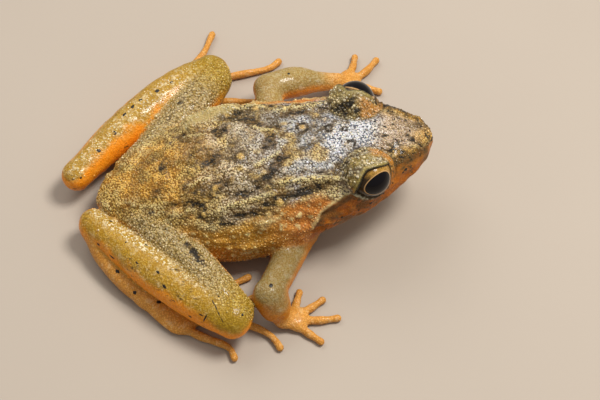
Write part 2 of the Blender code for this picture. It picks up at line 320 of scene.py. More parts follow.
@dataclass(frozen=True)
class Limb:
    """A limb or digit: elliptic sections along a smooth path, with domed ends.

    The path runs from root to tip. The profile gives half width and half height at shares of its length.
    The root fillet eases the limb into what it grows from; the touch fillet holds elsewhere.
    """

    name: str
    path: tuple
    profile: tuple
    root_fillet: float
    root_reach: float
    touch_fillet: float
    spans: int = 14
    steps: int = 16
    margin: float = 1.6

    def centre_line(self) -> Array:
        """The path as a smooth line.

        Returns:
            Points spaced evenly along the Catmull-Rom curve through the path.
        """
        knots = np.array(self.path, float)
        ends = np.vstack([2 * knots[0] - knots[1], knots, 2 * knots[-1] - knots[-2]])
        steps = np.linspace(0, 1, self.steps, endpoint=False)[None, :, None]
        a, b, c, d = (ends[k : k + len(knots) - 1][:, None, :] for k in range(4))
        curve = 0.5 * (2 * b + (c - a) * steps + (2 * a - 5 * b + 4 * c - d) * steps ** 2
                       + (3 * b - a - 3 * c + d) * steps ** 3)
        curve = np.vstack([curve.reshape(-1, 3), knots[-1:]])
        reach = np.concatenate([[0], np.cumsum(np.linalg.norm(np.diff(curve, axis=0), axis=1))])
        wanted = np.linspace(0, reach[-1], self.spans + 1)
        return np.stack([np.interp(wanted, reach, curve[:, k]) for k in range(3)], axis=1)

    def widths(self) -> tuple[Array, ...]:
        """Half width and half height at each point of the centre line."""
        shares, *columns = np.array(self.profile).T
        return tuple(smooth_curve(shares, column, np.linspace(0, 1, self.spans + 1)) for column in columns)

    def distance(self, place: Place) -> tuple[Array, Array]:
        """Signed distance near the surface, and the share of the way from root to tip.

        The offset from each short span's axis is measured in half widths across, half heights up and half
        widths along. Its length r is 1 on the surface, and the distance is r (r - 1) over the length of the
        offset measured twice that way. The nearest span counts.

        Args:
            place: Where.

        Returns:
            The distance and the share.
        """
        line = self.centre_line()
        wide, high = self.widths()
        broad = unit(np.cross(line[-1] - line[0], (0.0, 0.0, 1.0)))
        best = np.inf
        share = 0.0
        for k in range(self.spans):
            axis = line[k + 1] - line[k]
            length = np.linalg.norm(axis)
            ahead = axis / length
            side = unit(broad - np.dot(broad, ahead) * ahead)
            offset = minus(place, line[k])
            along = dot(offset, ahead)
            t = np.clip(along / length, 0.0, 1.0)
            half = wide[k] + (wide[k + 1] - wide[k]) * t
            rise = high[k] + (high[k + 1] - high[k]) * t
            a = dot(offset, side) / half
            b = dot(offset, np.cross(side, ahead)) / rise
            e = (along - t * length) / half
            r = np.sqrt(a * a + b * b + e * e)
            slope = np.sqrt((a / half) ** 2 + (b / rise) ** 2 + (e / half) ** 2)
            gap = r * (r - 1) / np.maximum(slope, 1e-6)
            share = np.where(gap < best, (k + t) / self.spans, share)
            best = np.where(gap < best, gap, best)
        return best, share

    def fillet(self, place: Place) -> Array:
        """The fillet's size: the root's beside the root, falling off as a bell to the touch fillet."""
        away = minus(place, np.array(self.path[0], float))
        return blend(np.exp(-dot(away, away) / self.root_reach ** 2), self.touch_fillet, self.root_fillet)

    def limits(self) -> tuple[Array, Array]:
        """Lowest and highest corner of the space that the limb needs."""
        line = self.centre_line()
        room = max(widths.max() for widths in self.widths()) + self.margin
        return line.min(axis=0) - room, line.max(axis=0) + room


@dataclass(frozen=True)
class EyeSeat:
    """Where an eye sits, where it looks and how its lids open."""

    side: Side
    centre: Triple
    look: Triple
    pupil_look: Triple
    corner: Triple = (0.9, 0.0, 0.42)
    ball_radius: float = 2.4
    lid_radius: float = 2.78
    lid_shift: Triple = (-0.28, 0.1, 0.0)
    lid_fillet: float = 0.7
    lid_room: float = 1.8
    opening_wide_deg: float = 80.0
    opening_above_deg: float = 62.0
    opening_below_deg: float = 55.0
    pocket_radius: float = 1.95
    edge_round: float = 0.14
    crease_radius: float = 3.58
    crease_half_width: float = 0.17
    crease_side: tuple = (-0.2, 1.0)
    pupil_scale: float = 1.0

    def axes(self, look: Triple) -> tuple[Array, Array, Array]:
        """The directions that an opening or a pupil is measured in.

        Args:
            look: Where it looks.

        Returns:
            Unit vectors along the look, to the front corner and to the upper lid.
        """
        ahead = unit(look)
        corner = np.asarray(self.corner, float)
        corner = unit(corner - ahead * np.dot(corner, ahead))
        upper = np.cross(ahead, corner)
        return ahead, corner, upper if upper[2] > 0 else -upper

    def opening(self, place: Place) -> tuple[Array, Array, Array]:
        """How far a point is from the lids' edge.

        Args:
            place: Where.

        Returns:
            Its direction's oval measure, 1 on the lids' edge and less in the opening; its distance from the
            eye's centre; and its angle towards the upper lid.
        """
        offset = minus(place, self.centre)
        ahead, aside, above = (dot(offset, axis) for axis in self.axes(self.look))
        turn = np.degrees(np.arctan2(aside, ahead))
        lift = np.degrees(np.arctan2(above, ahead))
        tall = np.where(lift > 0, self.opening_above_deg, self.opening_below_deg)
        oval = np.sqrt((turn / self.opening_wide_deg) ** 2 + (lift / tall) ** 2)
        return oval, np.sqrt(dot(offset, offset)), lift

    def add_lids(self, flesh: Array, place: Place) -> Array:
        """Joins the lids' dome to the head by a fillet and opens it over the eyeball.

        Args:
            flesh: Signed distances so far.
            place: Where.

        Returns:
            The distances with the lids.
        """
        offset = minus(place, np.asarray(self.centre) + np.array(self.lid_shift) * (1, -self.side.value, 1))
        flesh = soft_union(flesh, np.sqrt(dot(offset, offset)) - self.lid_radius, self.lid_fillet)
        oval, away, _ = self.opening(place)
        edge = (oval - 1.0) * away * math.radians(self.opening_below_deg)
        pocket = np.maximum(edge, self.pocket_radius - away)
        return -soft_union(-flesh, pocket, self.edge_round)

    def crease(self, points: Array) -> Array:
        """The crease between the lids' dome and the crown.

        Args:
            points: Rows of x, y, z.

        Returns:
            A bell of the distance from the eye's centre, on the crown's side only.
        """
        _, away, _ = self.opening(points.T)
        inward = -self.side.value * (points[:, 1] - self.centre[1])
        return bell(away, self.crease_radius, self.crease_half_width) * ramp(*self.crease_side, inward)

    def limits(self) -> tuple[Array, Array]:
        """Lowest and highest corner of the space that the lids need."""
        room = self.lid_radius + self.lid_room
        return np.asarray(self.centre) - room, np.asarray(self.centre) + room


@dataclass
class Lattice:
    """Signed distances on a rectangular lattice, finer round the head."""

    low: Triple = (-6.0, -24.0, -0.75)
    high: Triple = (42.5, 28.0, 15.5)
    fine: float = 0.175
    coarse: float = 0.262
    head_from: float = 27.0
    head_half_width: float = 9.0
    easing: float = 3.0
    middle_coarseness: float = 0.35
    height_coarseness: float = 0.55
    empty: float = 9.0
    samples: int = 4000
    axes: list = field(default_factory=list)
    values: Array | None = None

    def __post_init__(self) -> None:
        """Lays out the three rows of coordinates and fills the lattice with empty space."""
        head, half, ease = self.head_from, self.head_half_width, self.easing
        self.axes = [
            self.graded(0, lambda v: ramp(head + ease, head, v)),
            self.graded(1, lambda v: self.middle_coarseness
                        + (1 - self.middle_coarseness) * ramp(half, half + ease, np.abs(v))),
            self.graded(2, lambda v: np.full_like(v, self.height_coarseness)),
        ]
        self.values = np.full([len(row) for row in self.axes], self.empty, np.float32)

    def graded(self, axis: int, coarseness: Callable[[Array], Array]) -> Array:
        """Coordinates along an axis, where the running sum of 1 / spacing passes each whole number.

        Args:
            axis: Which axis.
            coarseness: A function of the coordinate, 0 for the fine spacing and 1 for the coarse one.

        Returns:
            The coordinates.
        """
        dense = np.linspace(self.low[axis], self.high[axis], self.samples)
        spacing = self.fine + (self.coarse - self.fine) * coarseness(dense)
        added = np.diff(dense) * 0.5 * (1 / spacing[1:] + 1 / spacing[:-1])
        count = np.concatenate([[0], np.cumsum(added)])
        return np.interp(np.arange(0, math.floor(count[-1]) + 1), count, dense)

    def window(self, low: Array, high: Array) -> tuple[tuple[slice, ...], Place]:
        """The part of the lattice between two corners.

        Args:
            low: Lowest corner.
            high: Highest corner.

        Returns:
            Its slices and its places.
        """
        cuts = tuple(slice(int(np.searchsorted(row, low[k])), int(np.searchsorted(row, high[k])))
                     for k, row in enumerate(self.axes))
        x, y, z = (row[cut].astype(np.float32) for row, cut in zip(self.axes, cuts))
        return cuts, (x[:, None, None], y[None, :, None], z[None, None, :])

    def close_corners(self, rounds: int = 4, depth: float = 0.01) -> None:
        """Fills the lattice where flesh only touches across a square's corners, so no edge joins four faces.

        Args:
            rounds: How often it looks.
            depth: How far inside a filled point lies.
        """
        for _ in range(rounds):
            inside = self.values < 0
            fill = np.zeros_like(inside)
            for axis in range(3):
                flat = np.moveaxis(inside, axis, 0)
                mark = np.moveaxis(fill, axis, 0)
                a, b = flat[:, :-1, :-1], flat[:, 1:, 1:]
                c, d = flat[:, :-1, 1:], flat[:, 1:, :-1]
                mark[:, :-1, 1:] |= a & b & ~c & ~d
                mark[:, :-1, :-1] |= c & d & ~a & ~b
            self.values[fill] = -depth

    def surface(self) -> tuple[Array, Array]:
        """The zero surface as quads.

        Every cell whose corners differ in sign gets one point, the mean of its edges' crossings. Every
        lattice edge that crosses zero gives a quad through the four cells round it.

        Returns:
            The points and the quads' corners.
        """
        inside = self.values < 0
        shape = np.array(inside.shape) - 1
        corners = np.zeros(shape, np.uint8)
        for i, j, k in CORNERS:
            corners += inside[i : shape[0] + i, j : shape[1] + j, k : shape[2] + k]
        mixed = (corners > 0) & (corners < len(CORNERS))
        cells = np.argwhere(mixed)
        number = np.full(mixed.shape, -1, np.int32)
        number[mixed] = np.arange(len(cells))
        total = np.zeros((len(cells), 3))
        hits = np.zeros(len(cells))
        quads = []
        for axis in range(3):
            step = np.eye(3, dtype=int)
            others = [(axis + 1) % 3, (axis + 2) % 3]
            for i, j in product((0, 1), repeat=2):
                start = cells + i * step[others[0]] + j * step[others[1]]
                first = self.values[tuple(start.T)]
                last = self.values[tuple((start + step[axis]).T)]
                crossed = (first < 0) != (last < 0)
                share = np.where(crossed, first / np.where(crossed, first - last, 1), 0)
                here, there = self.coordinates(start), self.coordinates(start + step[axis])
                total += np.where(crossed[:, None], here + share[:, None] * (there - here), 0)
                hits += crossed
            quads.append(self.quads_along(inside, number, axis, others))
        return total / hits[:, None], np.concatenate(quads)

    def coordinates(self, index: Array) -> Array:
        """The places of lattice points given by their indices."""
        return np.stack([row[index[:, k]] for k, row in enumerate(self.axes)], axis=1)

    @staticmethod
    def quads_along(inside: Array, number: Array, axis: int, others: list[int]) -> Array:
        """Quads round the lattice edges along one axis that cross the surface.

        Args:
            inside: Whether each lattice point lies in the flesh.
            number: The number of each cell's point, or -1.
            axis: Which way the edges run.
            others: The other two axes.

        Returns:
            The quads' corners, facing outwards.
        """
        step = np.eye(3, dtype=int)
        here = np.take(inside, np.arange(inside.shape[axis] - 1), axis=axis)
        there = np.take(inside, np.arange(1, inside.shape[axis]), axis=axis)
        edges = np.argwhere(here != there)
        leaving = here[tuple(edges.T)]
        ring = [-step[others[0]] - step[others[1]], -step[others[1]], 0 * step[0], -step[others[0]]]
        cells = np.stack([number[tuple((edges + offset).T)] for offset in ring], axis=1)
        return np.where(leaving[:, None], cells, cells[:, ::-1])

    def sample(self, places: Array) -> tuple[Array, Array]:
        """The distance and its slope at any places, straight between lattice points.

        Args:
            places: Rows of x, y, z.

        Returns:
            The values and rows of slopes.
        """
        index, share, width = [], [], []
        for row, value in zip(self.axes, places.T):
            cell = np.clip(np.searchsorted(row, value) - 1, 0, len(row) - 2)
            index.append(cell)
            width.append(row[cell + 1] - row[cell])
            share.append((value - row[cell]) / width[-1])
        total = np.zeros(len(places))
        slope = np.zeros((len(places), 3))
        for bits in CORNERS:
            corner = self.values[tuple(cell + bit for cell, bit in zip(index, bits))]
            weights = [part if bit else 1 - part for part, bit in zip(share, bits)]
            total += corner * weights[0] * weights[1] * weights[2]
            for axis, bit in enumerate(bits):
                first, second = weights[:axis] + weights[axis + 1 :]
                slope[:, axis] += corner * (2 * bit - 1) * first * second / width[axis]
        return total, slope


# Meshes


def link(name: str, data: bpy.types.ID) -> bpy.types.Object:
    """Puts a mesh, a camera or a light into the scene.

    Args:
        name: The object's name.
        data: What it holds.

    Returns:
        The new object, at the origin.
    """
    made = bpy.data.objects.new(name, data)
    bpy.context.scene.collection.objects.link(made)
    return made


def mesh_of(name: str, points: Array, faces: list, finish: bpy.types.Material) -> bpy.types.Mesh:
    """A smooth-shaded mesh.

    Args:
        name: Its name.
        points: Its points in the frame's metres.
        faces: Their corners.
        finish: Its material.

    Returns:
        The new mesh.
    """
    mesh = bpy.data.meshes.new(name)
    mesh.from_pydata(points.tolist(), [], faces)
    mesh.shade_smooth()
    mesh.materials.append(finish)
    return mesh


def add_piece(name: str, points: Array, faces: list, finish: bpy.types.Material) -> bpy.types.Object:
    """A piece of the frog, which rides on the frame.

    Args:
        name: Its name.
        points: Its points in modelling millimetres.
        faces: Their corners.
        finish: Its material.

    Returns:
        The new object.
    """
    piece = link(name, mesh_of(name, to_frame(points), faces, finish))
    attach(piece, "root")
    return piece


def add_colour(mesh: bpy.types.Mesh, name: str, colours: Array) -> None:
    """Writes one linear colour for each point as a named attribute."""
    padded = np.concatenate([colours, np.ones((len(colours), 1))], axis=1).astype(np.float32)
    mesh.attributes.new(name, "FLOAT_COLOR", "POINT").data.foreach_set("color", padded.ravel())


def add_number(mesh: bpy.types.Mesh, name: str, values: Array) -> None:
    """Writes one number for each point as a named attribute."""
    mesh.attributes.new(name, "FLOAT", "POINT").data.foreach_set("value", values.astype(np.float32))


def put(name: str, data: bpy.types.ID, place: Vector, back: Vector) -> bpy.types.Object:
    """Sets up a lamp or a camera.

    Args:
        name: The object's name.
        data: The lamp or camera.
        place: Where it is, in the frame's metres.
        back: The direction that it looks away from.

    Returns:
        The new object.
    """
    made = link(name, data)
    made.location = place
    made.rotation_mode = "QUATERNION"
    made.rotation_quaternion = (-back).to_track_quat("-Z", "Y")
    return made


@dataclass
class Sheet:
    """A closed mesh of quads in millimetres."""

    points: Array
    quads: Array

    def neighbour_mean(self) -> Array:
        """The mean of each point's neighbours.

        Returns:
            The sum of the edges' other ends over their count, each edge counted once for each face beside it.
        """
        here, there = self.quads.ravel(), np.roll(self.quads, -1, axis=1).ravel()
        size = len(self.points)
        count = np.bincount(here, minlength=size) + np.bincount(there, minlength=size)
        columns = [np.bincount(here, column[there], size) + np.bincount(there, column[here], size)
                   for column in self.points.T]
        return np.stack(columns, axis=1) / count[:, None]

    def normals(self) -> Array:
        """Unit normals at the points.

        Returns:
            The mean of the faces' diagonal cross products, at length one.
        """
        a, b, c, d = (self.points[self.quads[:, k]] for k in range(4))
        face = np.cross(c - a, d - b)
        total = np.stack([sum(np.bincount(self.quads[:, corner], column, len(self.points))
                              for corner in range(4)) for column in face.T], axis=1)
        return total / np.maximum(np.linalg.norm(total, axis=1), 1e-9)[:, None]

    def relax(self, lattice: Lattice, rounds: int, ease: float) -> None:
        """Evens the points out and puts them back on the lattice's zero surface.

        Args:
            lattice: The distances.
            rounds: How often.
            ease: How far each point goes towards its neighbours' mean.
        """
        flattest = 0.05
        for _ in range(rounds):
            self.points = blend(ease, self.points, self.neighbour_mean())
            value, slope = lattice.sample(self.points)
            self.points -= slope * (value / np.maximum((slope ** 2).sum(axis=1), flattest))[:, None]


# Shader maths


class Term:
    """A number that varies over a surface: a node's output that takes part in sums."""

    def __init__(self, graph: "Graph", socket: Socket) -> None:
        """Keeps the graph and the output socket."""
        self.graph = graph
        self.socket = socket

    def combine(self, operation: str, first: object, second: object) -> "Term":
        """One Math node on two terms or numbers."""
        node = self.graph.node("ShaderNodeMath", {"operation": operation}, {0: first, 1: second})
        return Term(self.graph, node.outputs[0])

    def __add__(self, other: object) -> "Term":
        """self + other."""
        return self.combine("ADD", self, other)

    __radd__ = __add__

    def __sub__(self, other: object) -> "Term":
        """self - other."""
        return self.combine("SUBTRACT", self, other)

    def __rsub__(self, other: object) -> "Term":
        """other - self."""
        return self.combine("SUBTRACT", other, self)

    def __mul__(self, other: object) -> "Term":
        """self * other."""
        return self.combine("MULTIPLY", self, other)

    __rmul__ = __mul__

    def __truediv__(self, other: object) -> "Term":
        """self / other."""
        return self.combine("DIVIDE", self, other)

    def __pow__(self, other: object) -> "Term":
        """self to the power other."""
        return self.combine("POWER", self, other)

    def ease(self, low: float, high: float) -> "Term":
        """0 at low and 1 at high with a smooth step between; low may be above high.

        Args:
            low: Where it is 0.
            high: Where it is 1.

        Returns:
            The eased term.
        """
        rising = high > low
        node = self.graph.node(
            "ShaderNodeMapRange",
            {"interpolation_type": "SMOOTHSTEP"},
            {"Value": self, "From Min": min(low, high), "From Max": max(low, high),
             "To Min": 0.0 if rising else 1.0, "To Max": 1.0 if rising else 0.0},
        )
        return Term(self.graph, node.outputs[0])


class Graph:
    """The nodes of one material."""

    def __init__(self, name: str) -> None:
        """Starts a material with its Principled shader."""
        self.material = bpy.data.materials.new(name)
        self.material.use_nodes = True
        self.tree = self.material.node_tree
        self.shader = self.tree.nodes["Principled BSDF"]

    def node(self, kind: str, settings: dict, inputs: dict) -> bpy.types.Node:
        """Adds a node.

        Args:
            kind: Its type.
            settings: Its properties, which are set first.
            inputs: For each input's name or number, a value, a Term or an output socket.

        Returns:
            The node.
        """
        made = self.tree.nodes.new(kind)
        for key, value in settings.items():
            setattr(made, key, value)
        for key, value in inputs.items():
            self.feed(made.inputs[key], value)
        return made

    def feed(self, target: Socket, value: object) -> None:
        """Links a Term or socket to an input, or sets the input's own value.

        Args:
            target: The input.
            value: What it gets; a colour has three parts.
        """
        source = value.socket if isinstance(value, Term) else value
        if isinstance(source, Socket):
            self.tree.links.new(source, target)
        else:
            target.default_value = (*source, 1.0) if target.type == "RGBA" else source

    def set(self, **inputs: object) -> None:
        """Feeds the Principled shader's inputs, named with _ for each space."""
        for key, value in inputs.items():
            self.feed(self.shader.inputs[key.replace("_", " ")], value)

    def place(self) -> Socket:
        """Object coordinates, in metres."""
        return self.node("ShaderNodeTexCoord", {}, {}).outputs["Object"]

    def colour(self, name: str) -> Socket:
        """A colour attribute of the mesh."""
        return self.node("ShaderNodeAttribute", {"attribute_name": name}, {}).outputs["Color"]

    def number(self, name: str) -> Term:
        """A number attribute of the mesh."""
        return Term(self, self.node("ShaderNodeAttribute", {"attribute_name": name}, {}).outputs["Fac"])

    def speckle(self, place: Socket, size: float, detail: float, roughness: float = 0.5) -> bpy.types.Node:
        """A Noise node whose lumps are about size millimetres wide."""
        return self.node("ShaderNodeTexNoise", {}, {"Vector": place, "Scale": 1 / (size * MM),
                                                    "Detail": detail, "Roughness": roughness})

    def noise(self, place: Socket, size: float, detail: float, roughness: float = 0.5) -> Term:
        """Noise whose lumps are about size millimetres wide, as a number."""
        return Term(self, self.speckle(place, size, detail, roughness).outputs["Fac"])

    def vector(self, operation: str, first: object, key: object, second: object) -> Socket:
        """One Vector Math node; key names its second input."""
        return self.node("ShaderNodeVectorMath", {"operation": operation}, {0: first, key: second}).outputs[0]

    def shaken(self, place: Socket, size: float, amount: float) -> Socket:
        """Coordinates plus twice the amount times a noise colour less a half.

        Args:
            place: The coordinates.
            size: Width of the noise's lumps, in millimetres.
            amount: How far they are pushed at the most, in millimetres.

        Returns:
            The pushed coordinates.
        """
        centred = self.vector("SUBTRACT", self.speckle(place, size, 1.0).outputs["Color"], 1, (0.5, 0.5, 0.5))
        return self.vector("ADD", place, 1, self.vector("SCALE", centred, "Scale", 2 * amount * MM))

    def cells(self, place: Socket, size: float) -> tuple[Term, Term]:
        """Round grains on a surface.

        Args:
            place: The coordinates.
            size: About how far apart the grains are, in millimetres.

        Returns:
            The distance from the nearest grain's middle, and that grain's random number.
        """
        node = self.node("ShaderNodeTexVoronoi", {"feature": "F1"},
                         {"Vector": place, "Scale": 1 / (size * MM), "Randomness": 1.0})
        parts = self.node("ShaderNodeSeparateColor", {}, {0: node.outputs["Color"]})
        return Term(self, node.outputs["Distance"]), Term(self, parts.outputs[0])

    def mix(self, share: object, low: object, high: object, kind: str = "MIX") -> Socket:
        """low where share is 0, high where it is 1, for colours."""
        return self.node("ShaderNodeMix", {"data_type": "RGBA", "blend_type": kind, "clamp_factor": True},
                         {0: share, 6: low, 7: high}).outputs[2]

    def soften(self, weight: float = 0.10, depth: float = 0.30, mirror: float = 0.16) -> None:
        """Lets light into the skin by about depth millimetres, red the furthest, and dims its mirror part."""
        self.set(Subsurface_Weight=weight, Subsurface_Radius=(1.0, 0.4, 0.12), Subsurface_Scale=depth * MM,
                 Specular_IOR_Level=mirror)

    def bump(self, height: Term, depth: float) -> Socket:
        """A Bump node of that depth in millimetres."""
        return self.node("ShaderNodeBump", {},
                         {"Strength": 1.0, "Distance": depth * MM, "Height": height}).outputs[0]


# Finishes


@dataclass(frozen=True)
class Tint:
    """A patch of skin: the ground between granules, the overall colour and the granules themselves."""

    ground: Triple
    body: Triple
    granule: Triple

    def table(self) -> Array:
        """The three colours as rows."""
        return np.array([self.ground, self.body, self.granule])

    def over(self, base: Array, share: Array) -> Array:
        """This tint laid over three rows of colour at each point, as far as share says."""
        return blend(share[:, None, None], base, self.table()[None])


@dataclass(frozen=True)
class Pigment:
    """Ragged flecks of pigment and of painted shade, stretched along the body and as thick as their attribute
    says.
    """

    size: float = 0.50
    stretch: float = 0.55
    ragged: float = 1.7
    brown: Triple = (0.085, 0.050, 0.012)
    black: Triple = (0.014, 0.011, 0.007)
    brown_edge: tuple = (0.34, 0.52)
    black_edge: tuple = (0.54, 0.72)
    brown_share: float = 0.8

    def over(self, graph: Graph, place: Socket, base: Socket, cover: float) -> Socket:
        """A colour under the pigment.

        Args:
            graph: The material's nodes.
            place: Object coordinates.
            base: The colour.
            cover: How much of it the pigment hides, 0 to 1.

        Returns:
            The colour, mixed with brown where ink plus stretched noise passes the brown edge and with black
            where it passes the black one.
        """
        squeezed = graph.vector("MULTIPLY", place, 1, (self.stretch, 1.0, 1.0))
        thick = graph.number("ink") + (graph.noise(squeezed, self.size, 4.0, 0.66) - 0.5) * self.ragged
        stained = graph.mix(thick.ease(*self.brown_edge) * (self.brown_share * cover), base, self.brown)
        return graph.mix(thick.ease(*self.black_edge) * cover, stained, self.black)


@dataclass(frozen=True)
class SkinFinish:
    """Moist skin, coloured by the mesh's three colour attributes: granular, flecked or veiled."""

    granule: float = 0.34
    fine_granule: float = 0.20
    grain_edge: tuple = (0.62, 0.2)
    fleck: float = 0.40
    fleck_edge: tuple = (0.53, 0.58)
    granule_height: float = 0.09
    veil: float = 0.8
    veil_share: float = 0.32
    veil_height: float = 1.3
    roughness: float = 0.38
    coat: float = 0.34
    least_coat: float = 0.10
    coat_roughness: float = 0.11
    pigment_cover: float = 0.95

    def build(self) -> bpy.types.Material:
        """Makes the material.

        Round granules of two sizes stand in a darker ground, as far as the attribute granular says.
        Elsewhere a fine pale veil lies on an uneven colour. The attribute flecked scatters pale flecks, and
        pigment lies over all.

        Returns:
            The material.
        """
        graph = Graph("moist_skin")
        place = graph.place()
        shaken = graph.shaken(place, 0.5, 0.09)
        away, which = graph.cells(shaken, self.granule)
        small_away, small_which = graph.cells(shaken, self.fine_granule)
        grain = away.ease(*self.grain_edge)
        small_grain = small_away.ease(*self.grain_edge)
        granular = graph.number("granular")
        flecked = graph.number("flecked")
        ground = graph.colour("ground")
        body = graph.colour("body")
        pale = graph.colour("granule")
        raised = grain * 0.5 + small_grain * 0.5
        glow = (which * 0.5 + small_which * 0.5).ease(0.2, 0.8)
        rich = graph.mix(raised.ease(0.05, 0.4), ground, graph.mix(glow * 0.6, body, pale))
        uneven = (small_grain * 0.35 + graph.noise(place, 1.3, 3.0, 0.6) * 0.65).ease(0.35, 0.65)
        soft = graph.mix(uneven, graph.mix(0.55, body, ground), body)
        veil = graph.noise(place, self.veil, 4.0, 0.68)
        soft = graph.mix(veil.ease(0.52, 0.68) * self.veil_share, soft, pale)
        base = graph.mix(granular, soft, rich)
        scatter = graph.noise(graph.shaken(place, 0.30, 0.25), self.fleck, 3.0, 0.6).ease(*self.fleck_edge)
        base = graph.mix(scatter * flecked, base, pale)
        wear = graph.noise(place, 2.6, 4.0, 0.6)
        base = graph.mix(wear.ease(0.45, 0.75) * 0.25, base, ground)
        wet = veil.ease(0.42, 0.62) * self.coat + self.least_coat
        graph.set(
            Base_Color=Pigment().over(graph, place, base, self.pigment_cover),
            Roughness=self.roughness - raised * 0.12 + wear * 0.06,
            Normal=graph.bump(raised * (granular * 0.5 + 0.5) + scatter * flecked * 0.6
                              + veil * self.veil_height, self.granule_height),
            Coat_Weight=wet * ((granular + flecked).ease(0.0, 0.6) * 0.6 + 0.4),
            Coat_Roughness=self.coat_roughness,
        )
        graph.soften()
        return graph.material


@dataclass(frozen=True)
class GranuleFinish:
    """The moist grains, each in its own tone, dark where there is pigment."""

    darker: Triple = (0.72, 0.66, 0.58)
    roughness: float = 0.36
    coat: float = 0.50
    coat_roughness: float = 0.10
    pigment_cover: float = 0.86

    def build(self) -> bpy.types.Material:
        """Makes the material, from the attributes tone and ink.

        Returns:
            The material.
        """
        graph = Graph("moist_granule")
        place = graph.place()
        tone = graph.colour("tone")
        uneven = graph.noise(place, 0.12, 2.0).ease(0.35, 0.65)
        base = graph.mix(uneven, graph.mix(1.0, tone, self.darker, "MULTIPLY"), tone)
        graph.set(Base_Color=Pigment().over(graph, place, base, self.pigment_cover),
                  Roughness=self.roughness, Coat_Weight=self.coat, Coat_Roughness=self.coat_roughness)
        graph.soften()
        return graph.material


@dataclass(frozen=True)
class SpeckFinish:
    """Black pigment, satin and a little uneven."""

    colour: Triple = (0.012, 0.009, 0.007)
    brown: Triple = (0.05, 0.03, 0.012)
    roughness: float = 0.4

    def build(self) -> bpy.types.Material:
        """Makes the material.

        Returns:
            The material.
        """
        graph = Graph("pigment_speck")
        uneven = graph.noise(graph.place(), 0.15, 3.0, 0.6).ease(0.5, 0.8)
        graph.set(Base_Color=graph.mix(uneven, self.colour, self.brown), Roughness=self.roughness,
                  Specular_IOR_Level=0.3)
        return graph.material


@dataclass(frozen=True)
class EyeFinish:
    """A wet eyeball: black oval pupil, pale ring, iris golden in front and above and dark brown behind."""

    pupil: Triple = (0.003, 0.002, 0.003)
    ring: Triple = (0.46, 0.27, 0.11)
    iris_upper: Triple = (0.50, 0.27, 0.050)
    iris_rear: Triple = (0.040, 0.022, 0.007)
    limbus: Triple = (0.012, 0.008, 0.007)
    pupil_wide: float = 0.69
    pupil_high: float = 0.50
    # Where each band begins and ends, in pupils: dark line in the iris, pale ring, pupil's edge
    line_edges: tuple = ((1.42, 1.5), (1.62, 1.54))
    ring_edges: tuple = ((1.0, 1.03), (1.10, 1.06))
    pupil_edge: tuple = (1.03, 0.99)
    roughness: float = 0.2
    coat: float = 0.75
    coat_roughness: float = 0.015
    coat_ior: float = 1.2

    def build(self) -> bpy.types.Material:
        """Makes the material, from the attributes aside, above and ahead: the direction on the eyeball.

        Returns:
            The material.
        """
        graph = Graph("wet_eye")
        aside, above, ahead = (graph.number(name) for name in ("aside", "above", "ahead"))
        oval = ((aside / self.pupil_wide) ** 2 + (above / self.pupil_high) ** 2) ** 0.5
        line = oval.ease(*self.line_edges[0]) * oval.ease(*self.line_edges[1])
        ring = oval.ease(*self.ring_edges[0]) * oval.ease(*self.ring_edges[1])
        streak = graph.noise(graph.shaken(graph.place(), 0.25, 0.10), 0.16, 4.0, 0.7).ease(0.38, 0.62)
        gold = graph.mix((above + aside * 0.75).ease(0.20, 0.75), self.iris_rear, self.iris_upper)
        dusk = graph.mix(0.72, gold, self.limbus)
        iris = graph.mix(streak, dusk, gold)
        iris = graph.mix(line * 0.8, iris, dusk)
        iris = graph.mix(ahead.ease(0.02, -0.25), iris, self.limbus)
        iris = graph.mix(ring, iris, self.ring)
        graph.set(Base_Color=graph.mix(oval.ease(*self.pupil_edge), iris, self.pupil),
                  Roughness=self.roughness, Specular_IOR_Level=0.1,
                  Coat_Weight=self.coat, Coat_Roughness=self.coat_roughness, Coat_IOR=self.coat_ior)
        return graph.material


@dataclass(frozen=True)
class FloorFinish:
    """A plain pale matt floor."""

    colour: Triple = (0.42, 0.36, 0.30)
    dusk: float = 0.94
    roughness: float = 0.75

    def build(self) -> bpy.types.Material:
        """Makes the material, with a very faint unevenness.

        Returns:
            The material.
        """
        graph = Graph("pale_floor")
        darker = tuple(self.dusk * part for part in self.colour)
        graph.set(Base_Color=graph.mix(graph.noise(graph.place(), 30.0, 3.0), darker, self.colour),
                  Roughness=self.roughness, Specular_IOR_Level=0.3)
        return graph.material


# The frog's pieces

EYES = (
    EyeSeat(Side.RIGHT, (31.9, -5.0, 11.9), (0.41, -0.88, 0.26), (0.36, -0.83, 0.43)),
    EyeSeat(Side.LEFT, (31.3, 5.5, 11.9), (0.38, 0.82, 0.42), (0.30, 0.63, 0.71),
            opening_above_deg=72.0, opening_below_deg=60.0, pupil_scale=1.22),
)

# Share of the way from root to tip, half width, half height
THIGH = ((0.0, 2.5, 2.5), (0.3, 2.7, 2.8), (0.6, 2.6, 2.8), (0.85, 2.4, 2.5), (1.0, 2.2, 2.2))
SHANK = ((0.0, 2.0, 2.1), (0.2, 2.5, 2.5), (0.45, 2.6, 2.5), (0.8, 2.0, 2.1), (1.0, 1.8, 1.8))
TARSUS = ((0.0, 1.5, 1.6), (0.4, 1.2, 1.4), (1.0, 1.2, 1.2))
SOLE = ((0.0, 1.0, 1.0), (0.5, 1.5, 0.95), (1.0, 2.0, 0.75))
TOE = ((0.0, 0.62, 0.66), (0.2, 0.48, 0.5), (0.36, 0.54, 0.58), (0.52, 0.42, 0.48), (0.66, 0.46, 0.54),
       (0.84, 0.36, 0.42), (0.95, 0.42, 0.46), (1.0, 0.46, 0.48))
UPPER_ARM = ((0.0, 2.1, 2.0), (0.4, 1.85, 1.85), (1.0, 1.65, 1.65))
FOREARM = ((0.0, 1.7, 1.7), (0.3, 1.9, 1.9), (0.7, 1.3, 1.3), (1.0, 1.0, 1.0))
